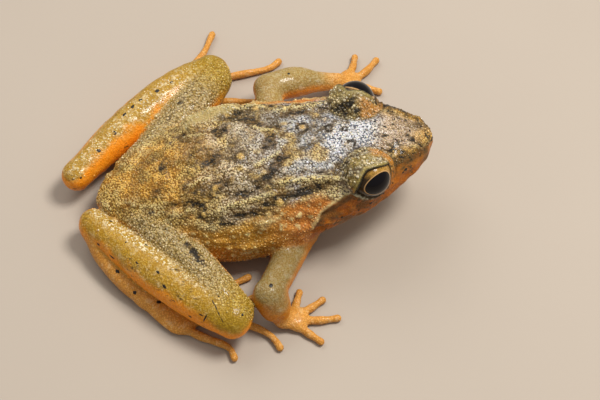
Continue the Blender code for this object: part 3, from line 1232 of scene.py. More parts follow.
PALM = ((0.0, 0.85, 0.75), (1.0, 1.5, 0.8))
FINGER = ((0.0, 0.6, 0.62), (0.3, 0.46, 0.5), (0.5, 0.5, 0.56), (0.8, 0.38, 0.44), (1.0, 0.46, 0.48))

# Profile, root fillet, how far it reaches, fillet elsewhere
BUILD = {
    "thigh": (THIGH, 2.2, 4.0, 0.30),
    "shank": (SHANK, 2.0, 2.6, 0.16),
    "tarsus": (TARSUS, 1.2, 2.2, 0.18),
    "sole": (SOLE, 1.2, 2.0, 0.3),
    "upper_arm": (UPPER_ARM, 2.4, 3.4, 0.5),
    "forearm": (FOREARM, 1.4, 2.4, 0.4),
    "hand": (PALM, 1.0, 1.6, 0.3),
    "toe": (TOE, 1.0, 2.2, 0.22),
    "finger": (FINGER, 0.8, 1.3, 0.2),
}

# The path of each limb and digit, from its root to its tip
PATHS = {
    Side.RIGHT: {
        "thigh": ((5.4, -3.2, 4.2), (9.6, -9.2, 4.3), (13.0, -14.3, 4.4), (14.9, -16.9, 4.1)),
        "shank": ((14.5, -18.2, 4.0), (10.6, -14.7, 4.2), (5.0, -9.3, 4.0), (-0.6, -3.0, 3.5)),
        "tarsus": ((-0.5, -3.5, 2.8), (0.3, -6.6, 2.1), (2.6, -10.1, 1.6), (4.8, -12.3, 1.2)),
        "sole": ((4.8, -12.3, 1.1), (6.6, -13.9, 0.9), (8.4, -15.2, 0.7)),
        "toe_1": ((7.8, -13.9, 0.6), (9.4, -12.7, 0.5), (11.0, -11.5, 0.45)),
        "toe_2": ((8.4, -14.3, 0.6), (12.0, -12.7, 0.5), (14.6, -11.4, 0.5), (17.0, -10.4, 0.45)),
        "toe_3": ((9.0, -14.9, 0.6), (12.8, -14.4, 0.5), (15.6, -13.8, 0.5), (17.5, -13.2, 0.45)),
        "toe_4": ((9.1, -15.6, 0.6), (13.0, -16.2, 0.5), (16.6, -17.0, 0.6), (18.9, -18.6, 0.6),
                  (19.8, -20.2, 0.45)),
        "toe_5": ((8.4, -16.2, 0.6), (11.0, -17.9, 0.5), (13.8, -19.5, 0.5), (14.4, -21.0, 0.45)),
        "upper_arm": ((23.6, -6.4, 3.0), (22.3, -8.6, 2.7), (20.7, -12.2, 3.9), (19.0, -15.5, 5.2)),
        "forearm": ((19.1, -15.8, 4.8), (19.7, -16.4, 3.2), (20.3, -16.9, 1.5)),
        "hand": ((20.6, -17.0, 1.0), (22.0, -16.7, 0.75)),
        "finger_1": ((21.7, -15.9, 0.6), (22.3, -14.5, 0.5), (22.8, -13.1, 0.45)),
        "finger_2": ((22.3, -16.2, 0.6), (24.0, -15.3, 0.5), (25.4, -14.4, 0.45)),
        "finger_3": ((22.6, -16.9, 0.6), (24.9, -17.1, 0.5), (26.9, -17.0, 0.45)),
        "finger_4": ((22.1, -17.6, 0.6), (23.3, -18.7, 0.5), (24.6, -19.9, 0.45)),
    },
    Side.LEFT: {
        "thigh": ((5.4, 3.2, 4.6), (9.8, 8.2, 4.5), (13.4, 13.0, 4.4), (15.3, 15.6, 4.1)),
        "shank": ((15.0, 17.1, 4.0), (10.0, 14.1, 4.2), (4.0, 9.6, 3.9), (-2.2, 4.1, 3.4)),
        "tarsus": ((-2.1, 4.6, 2.7), (-0.8, 7.4, 2.1), (1.8, 10.9, 1.6), (4.0, 13.2, 1.2)),
        "sole": ((4.0, 13.2, 1.1), (6.2, 14.9, 0.9), (8.0, 16.1, 0.7)),
        "toe_1": ((7.5, 14.8, 0.6), (9.2, 13.4, 0.5), (10.8, 12.2, 0.45)),
        "toe_2": ((8.1, 15.1, 0.6), (11.8, 13.0, 0.5), (14.0, 11.6, 0.5), (16.0, 10.6, 0.45)),
        "toe_3": ((8.7, 15.7, 0.6), (12.8, 15.3, 0.5), (17.2, 14.8, 0.5), (21.0, 14.3, 0.45)),
        "toe_4": ((8.8, 16.4, 0.6), (13.5, 17.8, 0.5), (18.4, 18.6, 0.6), (22.2, 19.2, 0.5),
                  (23.7, 20.2, 0.45)),
        "toe_5": ((8.0, 17.0, 0.6), (11.4, 19.4, 0.5), (14.2, 22.0, 0.5), (15.8, 25.2, 0.45)),
        "upper_arm": ((23.6, 6.2, 3.8), (21.9, 10.2, 4.1), (21.7, 13.5, 4.2)),
        "forearm": ((21.9, 13.9, 4.1), (25.2, 14.7, 3.6), (30.4, 15.8, 1.5)),
        "hand": ((30.9, 15.8, 1.0), (32.0, 16.1, 0.75)),
        "finger_1": ((31.4, 15.1, 0.6), (32.6, 13.9, 0.5), (33.6, 12.7, 0.45)),
        "finger_2": ((32.2, 15.4, 0.6), (34.0, 15.1, 0.5), (35.6, 14.4, 0.45)),
        "finger_3": ((32.6, 16.3, 0.6), (34.4, 17.6, 0.5), (35.8, 19.1, 0.45)),
        "finger_4": ((32.0, 17.0, 0.6), (32.8, 18.4, 0.5), (33.2, 19.8, 0.45)),
    },
}
# Every limb and digit, each after what it grows from
LIMBS = tuple(Limb(name, path, *BUILD[kind(name)]) for side in Side for name, path in PATHS[side].items())

# Skin colours: ground between granules, overall, granules
NAPE = Tint((0.07, 0.078, 0.10), (0.45, 0.44, 0.43), (0.84, 0.835, 0.845))
SHOULDERS = Tint((0.064, 0.056, 0.042), (0.305, 0.28, 0.235), (0.585, 0.57, 0.545))
MID_BACK = Tint((0.10, 0.055, 0.012), (0.44, 0.31, 0.13), (0.72, 0.60, 0.42))
RUMP = Tint((0.23, 0.10, 0.009), (0.58, 0.290, 0.032), (0.78, 0.50, 0.14))
GOLDEN = Tint((0.13, 0.065, 0.008), (0.46, 0.29, 0.055), (0.68, 0.50, 0.18))
SNOUT_TOP = Tint((0.12, 0.07, 0.03), (0.37, 0.265, 0.145), (0.60, 0.47, 0.35))
SNOUT_RIM = Tint((0.18, 0.078, 0.008), (0.52, 0.275, 0.030), (0.70, 0.43, 0.10))
FLANK = Tint((0.27, 0.09, 0.006), (0.61, 0.255, 0.021), (0.80, 0.49, 0.14))
FLANK_MID = Tint((0.27, 0.110, 0.008), (0.57, 0.285, 0.036), (0.80, 0.53, 0.17))
FLANK_FRONT = Tint((0.28, 0.080, 0.009), (0.58, 0.215, 0.036), (0.76, 0.40, 0.12))
CHEEK = Tint((0.20, 0.048, 0.003), (0.46, 0.130, 0.004), (0.62, 0.25, 0.03))
BELLY = Tint((0.42, 0.19, 0.05), (0.58, 0.34, 0.13), (0.70, 0.48, 0.24))
THIGH_TOP = Tint((0.11, 0.065, 0.010), (0.33, 0.215, 0.050), (0.68, 0.56, 0.33))
SHANK_TOP = Tint((0.25, 0.125, 0.008), (0.46, 0.262, 0.018), (0.90, 0.78, 0.50))
LIMB_EDGE = Tint((0.64, 0.20, 0.006), (0.90, 0.305, 0.013), (0.94, 0.50, 0.08))
KNEE = Tint((0.18, 0.10, 0.005), (0.37, 0.215, 0.008), (0.60, 0.44, 0.12))
FOOT = Tint((0.36, 0.13, 0.012), (0.70, 0.34, 0.07), (0.88, 0.64, 0.32))
ARM = Tint((0.28, 0.16, 0.03), (0.45, 0.32, 0.11), (0.82, 0.74, 0.54))
LID = Tint((0.06, 0.035, 0.006), (0.30, 0.215, 0.055), (0.68, 0.60, 0.40))
HIP = Tint((0.38, 0.28, 0.09), (0.56, 0.44, 0.19), (0.70, 0.61, 0.36))
# Where along the body each tint of back and flank holds
BACK_TINTS = ((1.0, RUMP), (9.0, RUMP), (15.0, MID_BACK), (23.0, SHOULDERS), (28.0, NAPE), (32.0, NAPE),
              (34.2, SNOUT_TOP), (37.6, SNOUT_TOP), (39.4, SNOUT_RIM))
FLANK_TINTS = ((8.0, FLANK), (13.0, FLANK_MID), (18.0, FLANK_MID), (23.0, FLANK_FRONT))
# Colours of single marks
# black of the upper lid's thin rim, widened by the painted shadow that the lid casts on the eye
RIM_BLACK_AND_LID_SHADOW = (0.012, 0.009, 0.006)
BROWN = (0.055, 0.032, 0.010)
# dark of the warts' rings, partly their own colour and partly painted shade, and painted shade in the lids'
# creases
DARK_RING_AND_SHADE = (0.06, 0.035, 0.012)
UMBER = (0.12, 0.055, 0.012)
# golden wart crowns, partly their own colour and partly painted highlight
CROWN_AND_HIGHLIGHT = (0.66, 0.42, 0.11)
# pale crests of the folds, and painted highlight on wrinkle crests and wart crowns
PALE_CREST_AND_HIGHLIGHT = (0.70, 0.58, 0.27)
ORANGE = (0.50, 0.20, 0.02)
# pale lower lid margin, partly its own colour and partly painted reflection
PALE_MARGIN_AND_REFLECTION = (0.50, 0.45, 0.30)
LID_STRIPE = (0.42, 0.33, 0.10)
LID_GREY = (0.46, 0.46, 0.42)
# painted shade in the hollow between lid and eyeball
POCKET_SHADE = (0.02, 0.012, 0.006)
WORN = (0.34, 0.27, 0.16)


def along(x: Array, stops: tuple[tuple[float, Tint], ...]) -> Array:
    """Tints blended along x.

    Args:
        x: Where.
        stops: Rising places and the tint at each.

    Returns:
        For each x three rows of colour: ground, body and granule.
    """
    knots, tints = zip(*stops)
    tables = np.array([tint.table().ravel() for tint in tints])
    return np.stack([np.interp(x, knots, column) for column in tables.T], axis=1).reshape(-1, 3, 3)


@dataclass(frozen=True)
class Fold:
    """A raised fold of skin along a line."""

    line: tuple
    half_width: float
    height: float

    def bell(self, points: Array, wider: float = 1.0) -> Array:
        """1 on the line, falling off as a bell."""
        return bell(away_from_line(points, self.line), 0.0, self.half_width * wider)


@dataclass(frozen=True)
class Wart:
    """A round swelling: its middle, radius and height."""

    middle: Triple
    radius: float
    height: float


@dataclass(frozen=True)
class Blotch:
    """A mark on the skin, longer one way than the other, with a ragged edge."""

    middle: Triple
    half_length: float
    half_width: float
    turn_deg: float = 0.0
    strength: float = 1.0
    ragged: float = 0.45
    edge: tuple = (1.3, 0.7)

    def share(self, points: Array, noise: Array) -> Array:
        """How much each point belongs to the mark.

        Args:
            points: Rows of x, y, z.
            noise: Numbers from 0 to 1 that shake the edge.

        Returns:
            The strength inside and 0 outside an ellipsoid that is long along its turn.
        """
        offset = points - np.array(self.middle)
        turn = math.radians(self.turn_deg)
        ahead = offset @ np.array([math.cos(turn), math.sin(turn), 0.0])
        aside = np.sqrt(np.maximum((offset ** 2).sum(axis=1) - ahead ** 2, 0))
        measure = np.sqrt((ahead / self.half_length) ** 2 + (aside / self.half_width) ** 2)
        return self.strength * ramp(*self.edge, measure + self.ragged * (noise - 0.5) * 2)


# Folds of the right side, which the left side has too
FOLDS = (
    Fold(((21.6, -4.9, 12.0), (25.2, -4.7, 12.0), (28.2, -5.0, 11.9)), 0.38, 0.42),
    Fold(((14.2, -6.6, 10.1), (17.4, -6.3, 10.9), (20.4, -5.9, 11.4)), 0.38, 0.44),
    Fold(((8.2, -5.3, 8.7), (11.2, -6.0, 9.3)), 0.36, 0.30),
    Fold(((18.9, -2.6, 12.6), (21.6, -1.5, 12.9)), 0.30, 0.22),
    Fold(((10.8, -3.4, 10.6), (13.2, -3.0, 11.6)), 0.30, 0.18),
    Fold(((18.4, -8.3, 9.0), (21.0, -8.1, 9.3)), 0.32, 0.20),
)
EAR_FOLD = Fold(((29.3, -6.3, 10.8), (27.2, -7.05, 10.0), (26.0, -7.55, 9.3), (24.9, -8.2, 8.0),
                 (24.7, -8.5, 7.2)), 0.26, 0.34)
SPINE_FOLD = Fold(((15.2, -2.7, 12.1), (18.2, -2.1, 12.6)), 0.14, 0.12)
# Angle up from the widest line, and where the ear fold or the snout's edge lies at it: the cheek is ahead
CHEEK_EDGE = ((-40, 24.4), (0, 24.6), (15, 24.9), (25, 26.0), (30, 27.2), (35, 29.2), (40, 33.0),
              (47, 40.0), (50, 60.0))
WARTS = (
    Wart((21.2, -6.8, 10.8), 0.62, 0.30),
    Wart((17.2, -1.3, 12.6), 0.58, 0.26),
    Wart((23.4, -8.0, 9.5), 0.5, 0.24),
    Wart((19.8, -7.7, 9.8), 0.45, 0.2),
    Wart((14.0, -4.4, 11.3), 0.5, 0.18),
    Wart((24.7, 1.8, 13.0), 0.5, 0.14),
    Wart((23.0, 5.0, 12.2), 0.55, 0.2),
    Wart((19.6, 5.6, 11.5), 0.55, 0.22),
    Wart((16.2, 5.4, 11.0), 0.5, 0.2),
    Wart((34.2, 4.5, 11.9), 0.36, 0.24),
    Wart((37.0, 3.0, 11.3), 0.3, 0.16),
)
HIP_BULGE = Blotch((14.2, 6.3, 10.2), 3.8, 1.6, 18, 1.0, 0.2)
BACK_BLOTCHES = (
    Blotch((20.6, 0.0, 13.0), 1.4, 0.8, 60),
    Blotch((22.0, -1.9, 12.9), 1.3, 0.65, 40),
    Blotch((21.0, -3.0, 12.6), 1.5, 0.55, 50),
    Blotch((19.7, -4.4, 12.2), 1.3, 0.6, 35),
    Blotch((13.9, -1.1, 12.0), 1.4, 0.8, 20),
    Blotch((14.6, -4.1, 11.5), 1.3, 0.7, 25),
    Blotch((8.2, 0.1, 9.8), 1.1, 0.6, 80, 0.8),
    Blotch((7.2, -2.8, 8.9), 1.2, 0.5, 10, 0.8),
    Blotch((5.6, -4.4, 7.6), 1.1, 0.5, -20, 0.8),
    Blotch((22.7, -6.0, 11.3), 1.9, 0.42, 0, 0.75),
    Blotch((25.6, -5.6, 11.4), 1.5, 0.35, 0, 0.8),
    Blotch((17.5, -7.4, 10.0), 2.0, 0.45, 5, 0.7),
    Blotch((13.0, -7.3, 8.9), 1.6, 0.4, 8, 0.65),
    Blotch((10.6, -3.6, 10.4), 1.2, 0.5, 60, 0.7),
    Blotch((24.5, 4.5, 12.4), 1.4, 0.7, 10),
    Blotch((19.0, 3.4, 12.5), 1.6, 0.7, -40),
    Blotch((15.0, 3.0, 12.0), 1.5, 0.8, -30),
    Blotch((10.8, 3.6, 10.4), 1.3, 0.7, -60, 0.8),
    Blotch((17.6, 7.2, 10.2), 1.9, 0.5, -5),
    Blotch((22.5, 6.4, 11.2), 1.7, 0.5, 0),
    Blotch((25.6, -8.2, 9.2), 1.1, 0.4, -60, 0.8),
    Blotch((25.6, 8.4, 9.2), 1.1, 0.4, 60, 0.8),
    Blotch((23.6, -8.6, 9.0), 0.9, 0.35, 10, 0.8),
)
LEG_BLOTCHES = (
    Blotch((10.5, -9.5, 7.0), 1.1, 0.50, -60, 1.0, 0.35),
    Blotch((11.1, -10.8, 7.1), 1.2, 0.50, -62, 1.0, 0.35),
    Blotch((11.8, -12.2, 7.1), 0.9, 0.34, -58, 0.9, 0.35),
    Blotch((9.2, 8.4, 7.1), 1.2, 0.4, 58, 0.6),
    Blotch((11.2, 11.4, 7.1), 1.3, 0.4, 60, 0.6),
)
# Dark rings between the eyes: place and radius
HEAD_RINGS = (((30.1, -1.1, 13.1), 0.42), ((29.6, 1.0, 13.2), 0.30), ((27.8, 1.3, 13.1), 0.44),
              ((24.7, 1.8, 13.0), 0.62))
# Black specks: place, half length, half width and turn
LEG_SPECKS = (
    ((-0.3, -6.3, 4.1), 0.30, 0.17, -40), ((1.3, -8.2, 4.3), 0.50, 0.14, -45),
    ((1.7, -9.4, 3.0), 0.32, 0.22, -50), ((3.5, -12.1, 2.3), 0.26, 0.24, 0),
    ((7.0, -13.9, 6.0), 0.34, 0.2, -60), ((6.3, -13.4, 1.9), 0.34, 0.22, 0),
    ((6.5, -12.1, 6.4), 0.28, 0.18, -50), ((11.4, -18.1, 5.3), 0.60, 0.11, -125),
    ((11.1, -17.6, 5.4), 0.3, 0.1, -30), ((12.5, -16.8, 6.7), 0.40, 0.07, -72),
    ((12.75, -17.5, 6.5), 0.42, 0.07, -74), ((13.0, -18.2, 6.2), 0.42, 0.06, -78),
    ((13.25, -18.9, 5.8), 0.38, 0.05, -80), ((15.7, -18.4, 6.0), 0.22, 0.18, 0),
    ((1.4, -3.9, 5.3), 0.26, 0.13, -30), ((8.3, 13.2, 6.6), 0.34, 0.24, 30),
    ((6.1, 12.1, 6.5), 0.26, 0.2, 0), ((5.2, 11.2, 6.4), 0.3, 0.24, 40),
    ((4.1, 10.4, 6.3), 0.34, 0.2, 40), ((2.9, 8.1, 6.0), 0.32, 0.28, 20),
    ((0.6, 5.9, 5.6), 0.28, 0.26, 0), ((-1.7, 3.0, 4.7), 0.14, 0.14, 0),
    ((19.3, -15.6, 6.7), 0.30, 0.24, 60),
)
HEAD_SPECKS = (
    ((36.4, -3.5, 10.0), 0.34, 0.2, 20), ((36.1, -3.9, 9.8), 0.2, 0.16, 60),
    ((31.9, -6.6, 8.4), 0.26, 0.22, 0), ((30.4, -7.1, 8.2), 0.16, 0.13, 0),
    ((33.6, -5.9, 8.8), 0.15, 0.12, 0), ((33.9, 4.6, 12.7), 0.24, 0.2, 0),
    ((35.6, 2.2, 12.3), 0.24, 0.16, 20), ((34.3, 1.0, 12.8), 0.26, 0.13, -20),
    ((36.0, -0.7, 12.2), 0.28, 0.14, 30), ((34.2, -0.2, 12.8), 0.38, 0.14, 0),
    ((37.2, 0.9, 11.7), 0.24, 0.14, 60), ((33.2, 1.9, 12.9), 0.2, 0.14, 0),
    ((35.1, -1.6, 12.3), 0.26, 0.16, -30), ((36.9, 2.3, 11.9), 0.2, 0.14, 10),
    ((38.2, 0.3, 11.3), 0.2, 0.14, 40), ((38.6, 1.6, 11.0), 0.22, 0.15, -30),
    ((37.9, -1.2, 11.2), 0.2, 0.13, 10), ((35.0, 3.4, 12.2), 0.2, 0.15, 70),
    ((33.0, 0.6, 13.0), 0.18, 0.12, 30), ((32.4, 2.6, 13.0), 0.18, 0.13, 0),
)
OTHER_SPECKS = (
    ((9.6, -17.2, 4.4), 0.28, 0.18, 0), ((4.2, -10.4, 6.1), 0.28, 0.13, -50),
    ((24.4, 14.6, 5.4), 0.2, 0.16, 0), ((10.0, 14.2, 6.6), 0.24, 0.18, 30),
    ((1.6, 12.2, 2.0), 0.3, 0.22, 40), ((5.6, -7.9, 6.4), 0.24, 0.14, -50),
    ((3.0, -7.4, 5.6), 0.14, 0.11, 0), ((8.7, -11.9, 6.7), 0.13, 0.1, 0),
    ((13.1, -16.2, 6.6), 0.14, 0.1, 20), ((34.8, -4.9, 9.6), 0.14, 0.12, 0),
    ((35.2, 6.1, 9.0), 0.2, 0.16, 20), ((32.6, 7.6, 8.3), 0.24, 0.18, 0),
    ((28.4, -8.0, 7.4), 0.18, 0.14, 0), ((26.6, -8.6, 6.2), 0.2, 0.16, 30),
    ((20.5, -9.6, 6.0), 0.22, 0.14, 0),
)
FACE_STRIPE = ((33.9, -3.7, 11.8), (35.2, -3.0, 11.4), (37.2, -2.2, 10.9), (39.0, -1.0, 10.4))
NOSTRIL = (38.2, 1.75, 10.75)
TYMPANUM = (28.4, 7.35, 8.6)
# The mouth line: x and height
MOUTH = ((29.0, 6.3), (31.0, 6.75), (34.0, 7.35), (36.5, 7.85), (38.3, 8.2), (39.5, 8.45), (40.3, 8.7))
# Lumps that shape and colour the skin: width and seed
LUMPS = {
    "wobble": (2.2, 3), "ragged": (0.55, 4), "back_fine": (0.9, 5), "back_broad": (2.4, 6),
    "leg_broad": (2.6, 7), "leg_fine": (0.8, 8), "lid_fine": (0.55, 9), "lid_broad": (1.2, 10),
    "fold": (0.8, 12), "patch_broad": (2.4, 21), "patch_middle": (1.2, 22), "patch_fine": (0.6, 23),
    "gold_broad": (1.9, 24), "gold_fine": (0.9, 25), "fleck_broad": (1.1, 31), "fleck_fine": (0.5, 32),
    "cheek_broad": (1.3, 41), "cheek_fine": (0.6, 42), "snout_ink": (0.8, 43), "cheek_ink": (0.9, 44),
    "lid_blot": (0.95, 51), "lid_grey": (1.1, 52), "limb_broad": (2.2, 71), "limb_fine": (0.8, 72),
    "leg_ink": (1.4, 81), "wrinkle_broad": (0.75, 61), "wrinkle_fine": (0.42, 62),
}


@dataclass
class Paint:
    """What is laid on the skin at each point: ground, body and granules' colours, grains and pigment.

    Dorsal and cheek say how much a point belongs to the back and to the cheek. Where the pigment number is a
    half, the pigment covers half of the skin; the same number also carries painted shade in the folds'
    grooves, the wrinkles' valleys, the warts' rings and the nostrils.
    """

    colours: Array
    granular: Array
    dorsal: Array
    cheek: Array
    ink: Array

    def lay(self, share: Array, colour: Triple, rows: Triple = (1.0, 1.0, 1.0)) -> None:
        """Mixes a colour in.

        Args:
            share: How much at each point.
            colour: The colour.
            rows: How far into ground, body and granules.
        """
        for row, amount in enumerate(rows):
            weight = (np.clip(share, 0, 1) * amount)[:, None]
            self.colours[:, row] = blend(weight, self.colours[:, row], np.array(colour))

    def blacken(self, share: Array) -> None:
        """Raises the pigment and painted shade to a share where they are less."""
        self.ink = np.maximum(self.ink, share)


@dataclass
class Skin:
    """The frog's skin, one closed surface over trunk, head, legs and digits, with a pocket for each eye."""

    torso: Torso = field(default_factory=Torso)
    floor_height: float = 0.0
    floor_gap: float = 0.004
    floor_dip: float = 0.005
    floor_round: float = 0.12
    relax_rounds: int = 3
    relax_ease: float = 0.45
    softness: float = 0.3
    wart_count: int = 260
    wart_radii: tuple = (0.22, 0.48)
    wart_heights: tuple = (0.07, 0.24)
    strewn_tint: float = 0.35
    seed: int = 11
    mouth_from: float = 30.2
    back_edge_deg: float = 19.0
    back_ease_deg: float = 13.0
    weights: dict = field(default_factory=dict)
    shares: dict = field(default_factory=dict)
    colours: dict = field(default_factory=dict)
    sheet: Sheet | None = None
    smooth: Array | None = None
    normals: Array | None = None
    angle: Array | None = None

    def mirrored(self, line: tuple[Triple, ...]) -> tuple[Triple, ...]:
        """A line on the right side carried over the bent midline to the left."""
        return tuple((x, 2 * float(self.torso.bend(x)) - y, z) for x, y, z in line)

    def both(self, fold: Fold) -> tuple[Fold, Fold]:
        """A fold of the right side, and the same on the left."""
        return fold, Fold(self.mirrored(fold.line), fold.half_width, fold.height)

    def lumps(self, name: str) -> Array:
        """One of the skin's patterns of lumps, 0 to 1, at each point."""
        return lumps(self.smooth, *LUMPS[name])

    def nostril(self, side: Side) -> Array:
        """Where a side's nostril is."""
        return np.array(NOSTRIL) * (1, side.value, 1) + (0, float(self.torso.bend(NOSTRIL[0])), 0)

    def wrinkles(self) -> Array:
        """Lumps, 0 to 1, that run along the body, because they are read from space squeezed along it."""
        squeezed = self.smooth @ np.array([[0.30, 0.05, 0.0], [0.0, 1.0, 0.0], [-0.05, 0.0, 1.0]])
        return (0.65 * lumps(squeezed, *LUMPS["wrinkle_broad"])
                + 0.35 * lumps(squeezed, *LUMPS["wrinkle_fine"]))

    def flesh(self, lattice: Lattice) -> None:
        """Fills the lattice with the signed distance to the whole frog.

        Args:
            lattice: The lattice to fill.
        """
        cuts, place = lattice.window(*self.torso.limits())
        lattice.values[cuts] = self.torso.distance(place)
        for part in LIMBS:
            cuts, place = lattice.window(*part.limits())
            gap, _ = part.distance(place)
            lattice.values[cuts] = soft_union(lattice.values[cuts], gap, part.fillet(place))
        for seat in EYES:
            cuts, place = lattice.window(*seat.limits())
            lattice.values[cuts] = seat.add_lids(lattice.values[cuts], place)
        height = lattice.axes[2].astype(np.float32)[None, None, :]
        height = height - self.floor_height - self.floor_dip
        lattice.values = -soft_union(-lattice.values, height, self.floor_round)
        lattice.close_corners()

    def build(self) -> bpy.types.Object:
        """Makes the skin.

        Returns:
            The dressed object, riding on the frame and standing for the flesh.
        """
        lattice = Lattice()
        self.flesh(lattice)
        self.sheet = Sheet(*lattice.surface())
        self.sheet.relax(lattice, self.relax_rounds, self.relax_ease)
        self.smooth = self.sheet.points.copy()
        self.normals = self.sheet.normals()
        self.measure()
        warts = self.warts()
        self.colours = self.paint(warts)
        self.sheet.points = self.smooth + self.normals * self.relief(warts["rise"])[:, None]
        lowest = self.floor_height + self.floor_gap
        self.sheet.points[:, 2] = np.maximum(self.sheet.points[:, 2], lowest)
        skin = add_piece("skin", self.sheet.points, self.sheet.quads.tolist(), SkinFinish().build())
        for name in ("ground", "body", "granule"):
            add_colour(skin.data, name, self.colours[name])
        for name in ("granular", "flecked", "ink"):
            add_number(skin.data, name, self.colours[name])
        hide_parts(*[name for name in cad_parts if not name.endswith("_eye")])
        return skin

    def measure(self) -> None:
        """Finds how high each point lies round the body, and how much it belongs to each part.

        A part's weight is a bell of the distance from it, and the weights are shared out to sum to 1.
        """
        across, up, *_ = self.torso.across_and_up(self.smooth.T)
        self.angle = np.degrees(np.arctan2(up, across))
        far = 50.0
        gaps = {"torso": np.maximum(self.torso.distance(self.smooth.T), 0)}
        for part in LIMBS:
            low, high = part.limits()
            near = np.all((self.smooth > low) & (self.smooth < high), axis=1)
            gap, share = np.full((2, len(near)), ((far,), (0.0,)))
            gap[near], share[near] = part.distance(self.smooth[near].T)
            gap = np.maximum(gap, 0)
            group = kind(part.name)
            nearest = gap < gaps.get(group, far - 1)
            self.shares[group] = np.where(nearest, share, self.shares.get(group, 0.0))
            gaps[group] = np.minimum(gap, gaps.get(group, far))
        bells = {group: np.exp(-(gap / self.softness) ** 2) + 1e-9 for group, gap in gaps.items()}
        total = sum(bells.values())
        self.weights = {group: part / total for group, part in bells.items()}

    def warts(self) -> dict[str, Array]:
        """The warts listed one by one, and small ones strewn at random over back, flanks and legs.

        Returns:
            At each point the rise that they give, and its shares in a wart's crown and in the ring round
            one.
        """
        points = self.smooth
        legs = (self.weights["thigh"] + self.weights["shank"]) * ramp(0.1, 0.6, self.normals[:, 2])
        along_back = ramp(33, 30, points[:, 0]) * ramp(4, 13, points[:, 0])
        likely = self.weights["torso"] * ramp(-30, -5, self.angle) * along_back + 0.05 * legs
        draw = np.random.default_rng(self.seed)
        chosen = draw.choice(len(points), self.wart_count, replace=False, p=likely / likely.sum())
        radii = draw.uniform(*self.wart_radii, self.wart_count)
        heights = draw.uniform(*self.wart_heights, self.wart_count)
        strewn = [Wart(tuple(points[spot]), *sizes) for spot, *sizes in zip(chosen, radii, heights)]
        rise, crown, ring = np.zeros((3, len(points)))
        for wart, tinted in [(wart, 1.0) for wart in WARTS] + [(wart, self.strewn_tint) for wart in strewn]:
            near = np.flatnonzero(np.abs(points[:, 0] - wart.middle[0]) < wart.radius * 2.2)
            away = away_from(points[near], wart.middle) / wart.radius
            rise[near] += wart.height * ramp(1.3, 0.2, away)
            crown[near] = np.maximum(crown[near], ramp(0.95, 0.4, away) * tinted)
            round_it = ramp(0.7, 1.1, away) * ramp(1.9, 1.3, away)
            ring[near] = np.maximum(ring[near], round_it * (0.3 + 0.7 * tinted))
        return {"rise": rise, "crown": crown, "ring": ring}

    def relief(self, warts: Array) -> Array:
        """How far each point stands out: folds, warts, lumps, lids, mouth, nostrils and eardrums.

        Args:
            warts: The rise of the warts.

        Returns:
            Millimetres outwards.
        """
        torso = self.weights["torso"]
        upper = torso * ramp(-25, 5, self.angle)
        legs = self.weights["thigh"] + self.weights["shank"]
        arms = self.weights["upper_arm"] + self.weights["forearm"]
        broken = 0.55 + 0.9 * self.lumps("fold")
        rise = warts + SPINE_FOLD.height * SPINE_FOLD.bell(self.smooth)
        for fold in (*FOLDS, EAR_FOLD):
            for side in self.both(fold):
                rise = rise + side.height * side.bell(self.smooth) * torso * broken
        rise += upper * (0.26 * (self.lumps("back_fine") - 0.45) + 0.22 * (self.lumps("back_broad") - 0.5))
        beside = ramp(78, 50, self.angle) * ramp(30, 26, self.smooth[:, 0])
        rise += upper * beside * 0.85 * (self.wrinkles() - 0.5)
        uneven = 0.14 * (self.lumps("leg_broad") - 0.5) + 0.09 * (self.lumps("leg_fine") - 0.5)
        rise += (legs + arms) * uneven
        rise += 0.55 * HIP_BULGE.share(self.smooth, np.full(len(rise), 0.5)) * torso
        return rise + self.face_relief() + self.lid_relief()

    def face_relief(self) -> Array:
        """The mouth line with its set-back lower jaw, hollow cheeks, nostrils and eardrums.

        Returns:
            The rise, negative where the face is sunken.
        """
        x, _, z = self.smooth.T
        torso = self.weights["torso"]
        above = z - np.interp(x, *np.array(MOUTH).T)
        inside = torso * ramp(self.mouth_from - 1.2, self.mouth_from + 0.4, x)
        groove = -0.16 * bell(above, 0.0, 0.17)
        lip = 0.07 * bell(above, 0.42, 0.3)
        jaw = -0.16 * ramp(0.05, -0.35, above) * ramp(-5.0, -2.0, above)
        rise = inside * (groove + lip + jaw)
        hollow = bell(x, 36.0, 1.5) * bell(self.angle, 22, 16)
        canthus = bell(x, 36.2, 2.2) * bell(self.angle, 50, 9)
        rise += torso * (0.14 * canthus - 0.32 * hollow)
        for side in Side:
            away = away_from(self.smooth, self.nostril(side))
            rise += 0.14 * bell(away, 0.42, 0.22) - 0.32 * bell(away, 0.0, 0.24)
            away = away_from(self.smooth, np.array(TYMPANUM) * (1, side.value, 1))
            rise += 0.10 * bell(away, 1.05, 0.2) - 0.12 * ramp(1.0, 0.8, away)
        return rise

    def lid_relief(self) -> Array:
        """A thin raised margin round each eye, a crease where the upper lid folds, and the lids' own warts.

        Returns:
            The rise.
        """
        rise = np.zeros(len(self.smooth))
        bumps = ramp(0.5, 0.8, self.lumps("lid_fine")) * 0.15 + 0.08 * (self.lumps("lid_broad") - 0.5)
        for seat in EYES:
            oval, away, lift = seat.opening(self.smooth.T)
            margin = 0.07 * bell(oval, 1.06, 0.06)
            behind = 0.07 * bell(oval, 1.26, 0.06) * ramp(0, 12, lift)
            rise += ramp(3.6, 3.1, away) * (margin - behind + ramp(1.3, 1.5, oval) * bumps)
            rise -= 0.14 * seat.crease(self.smooth)
        return rise

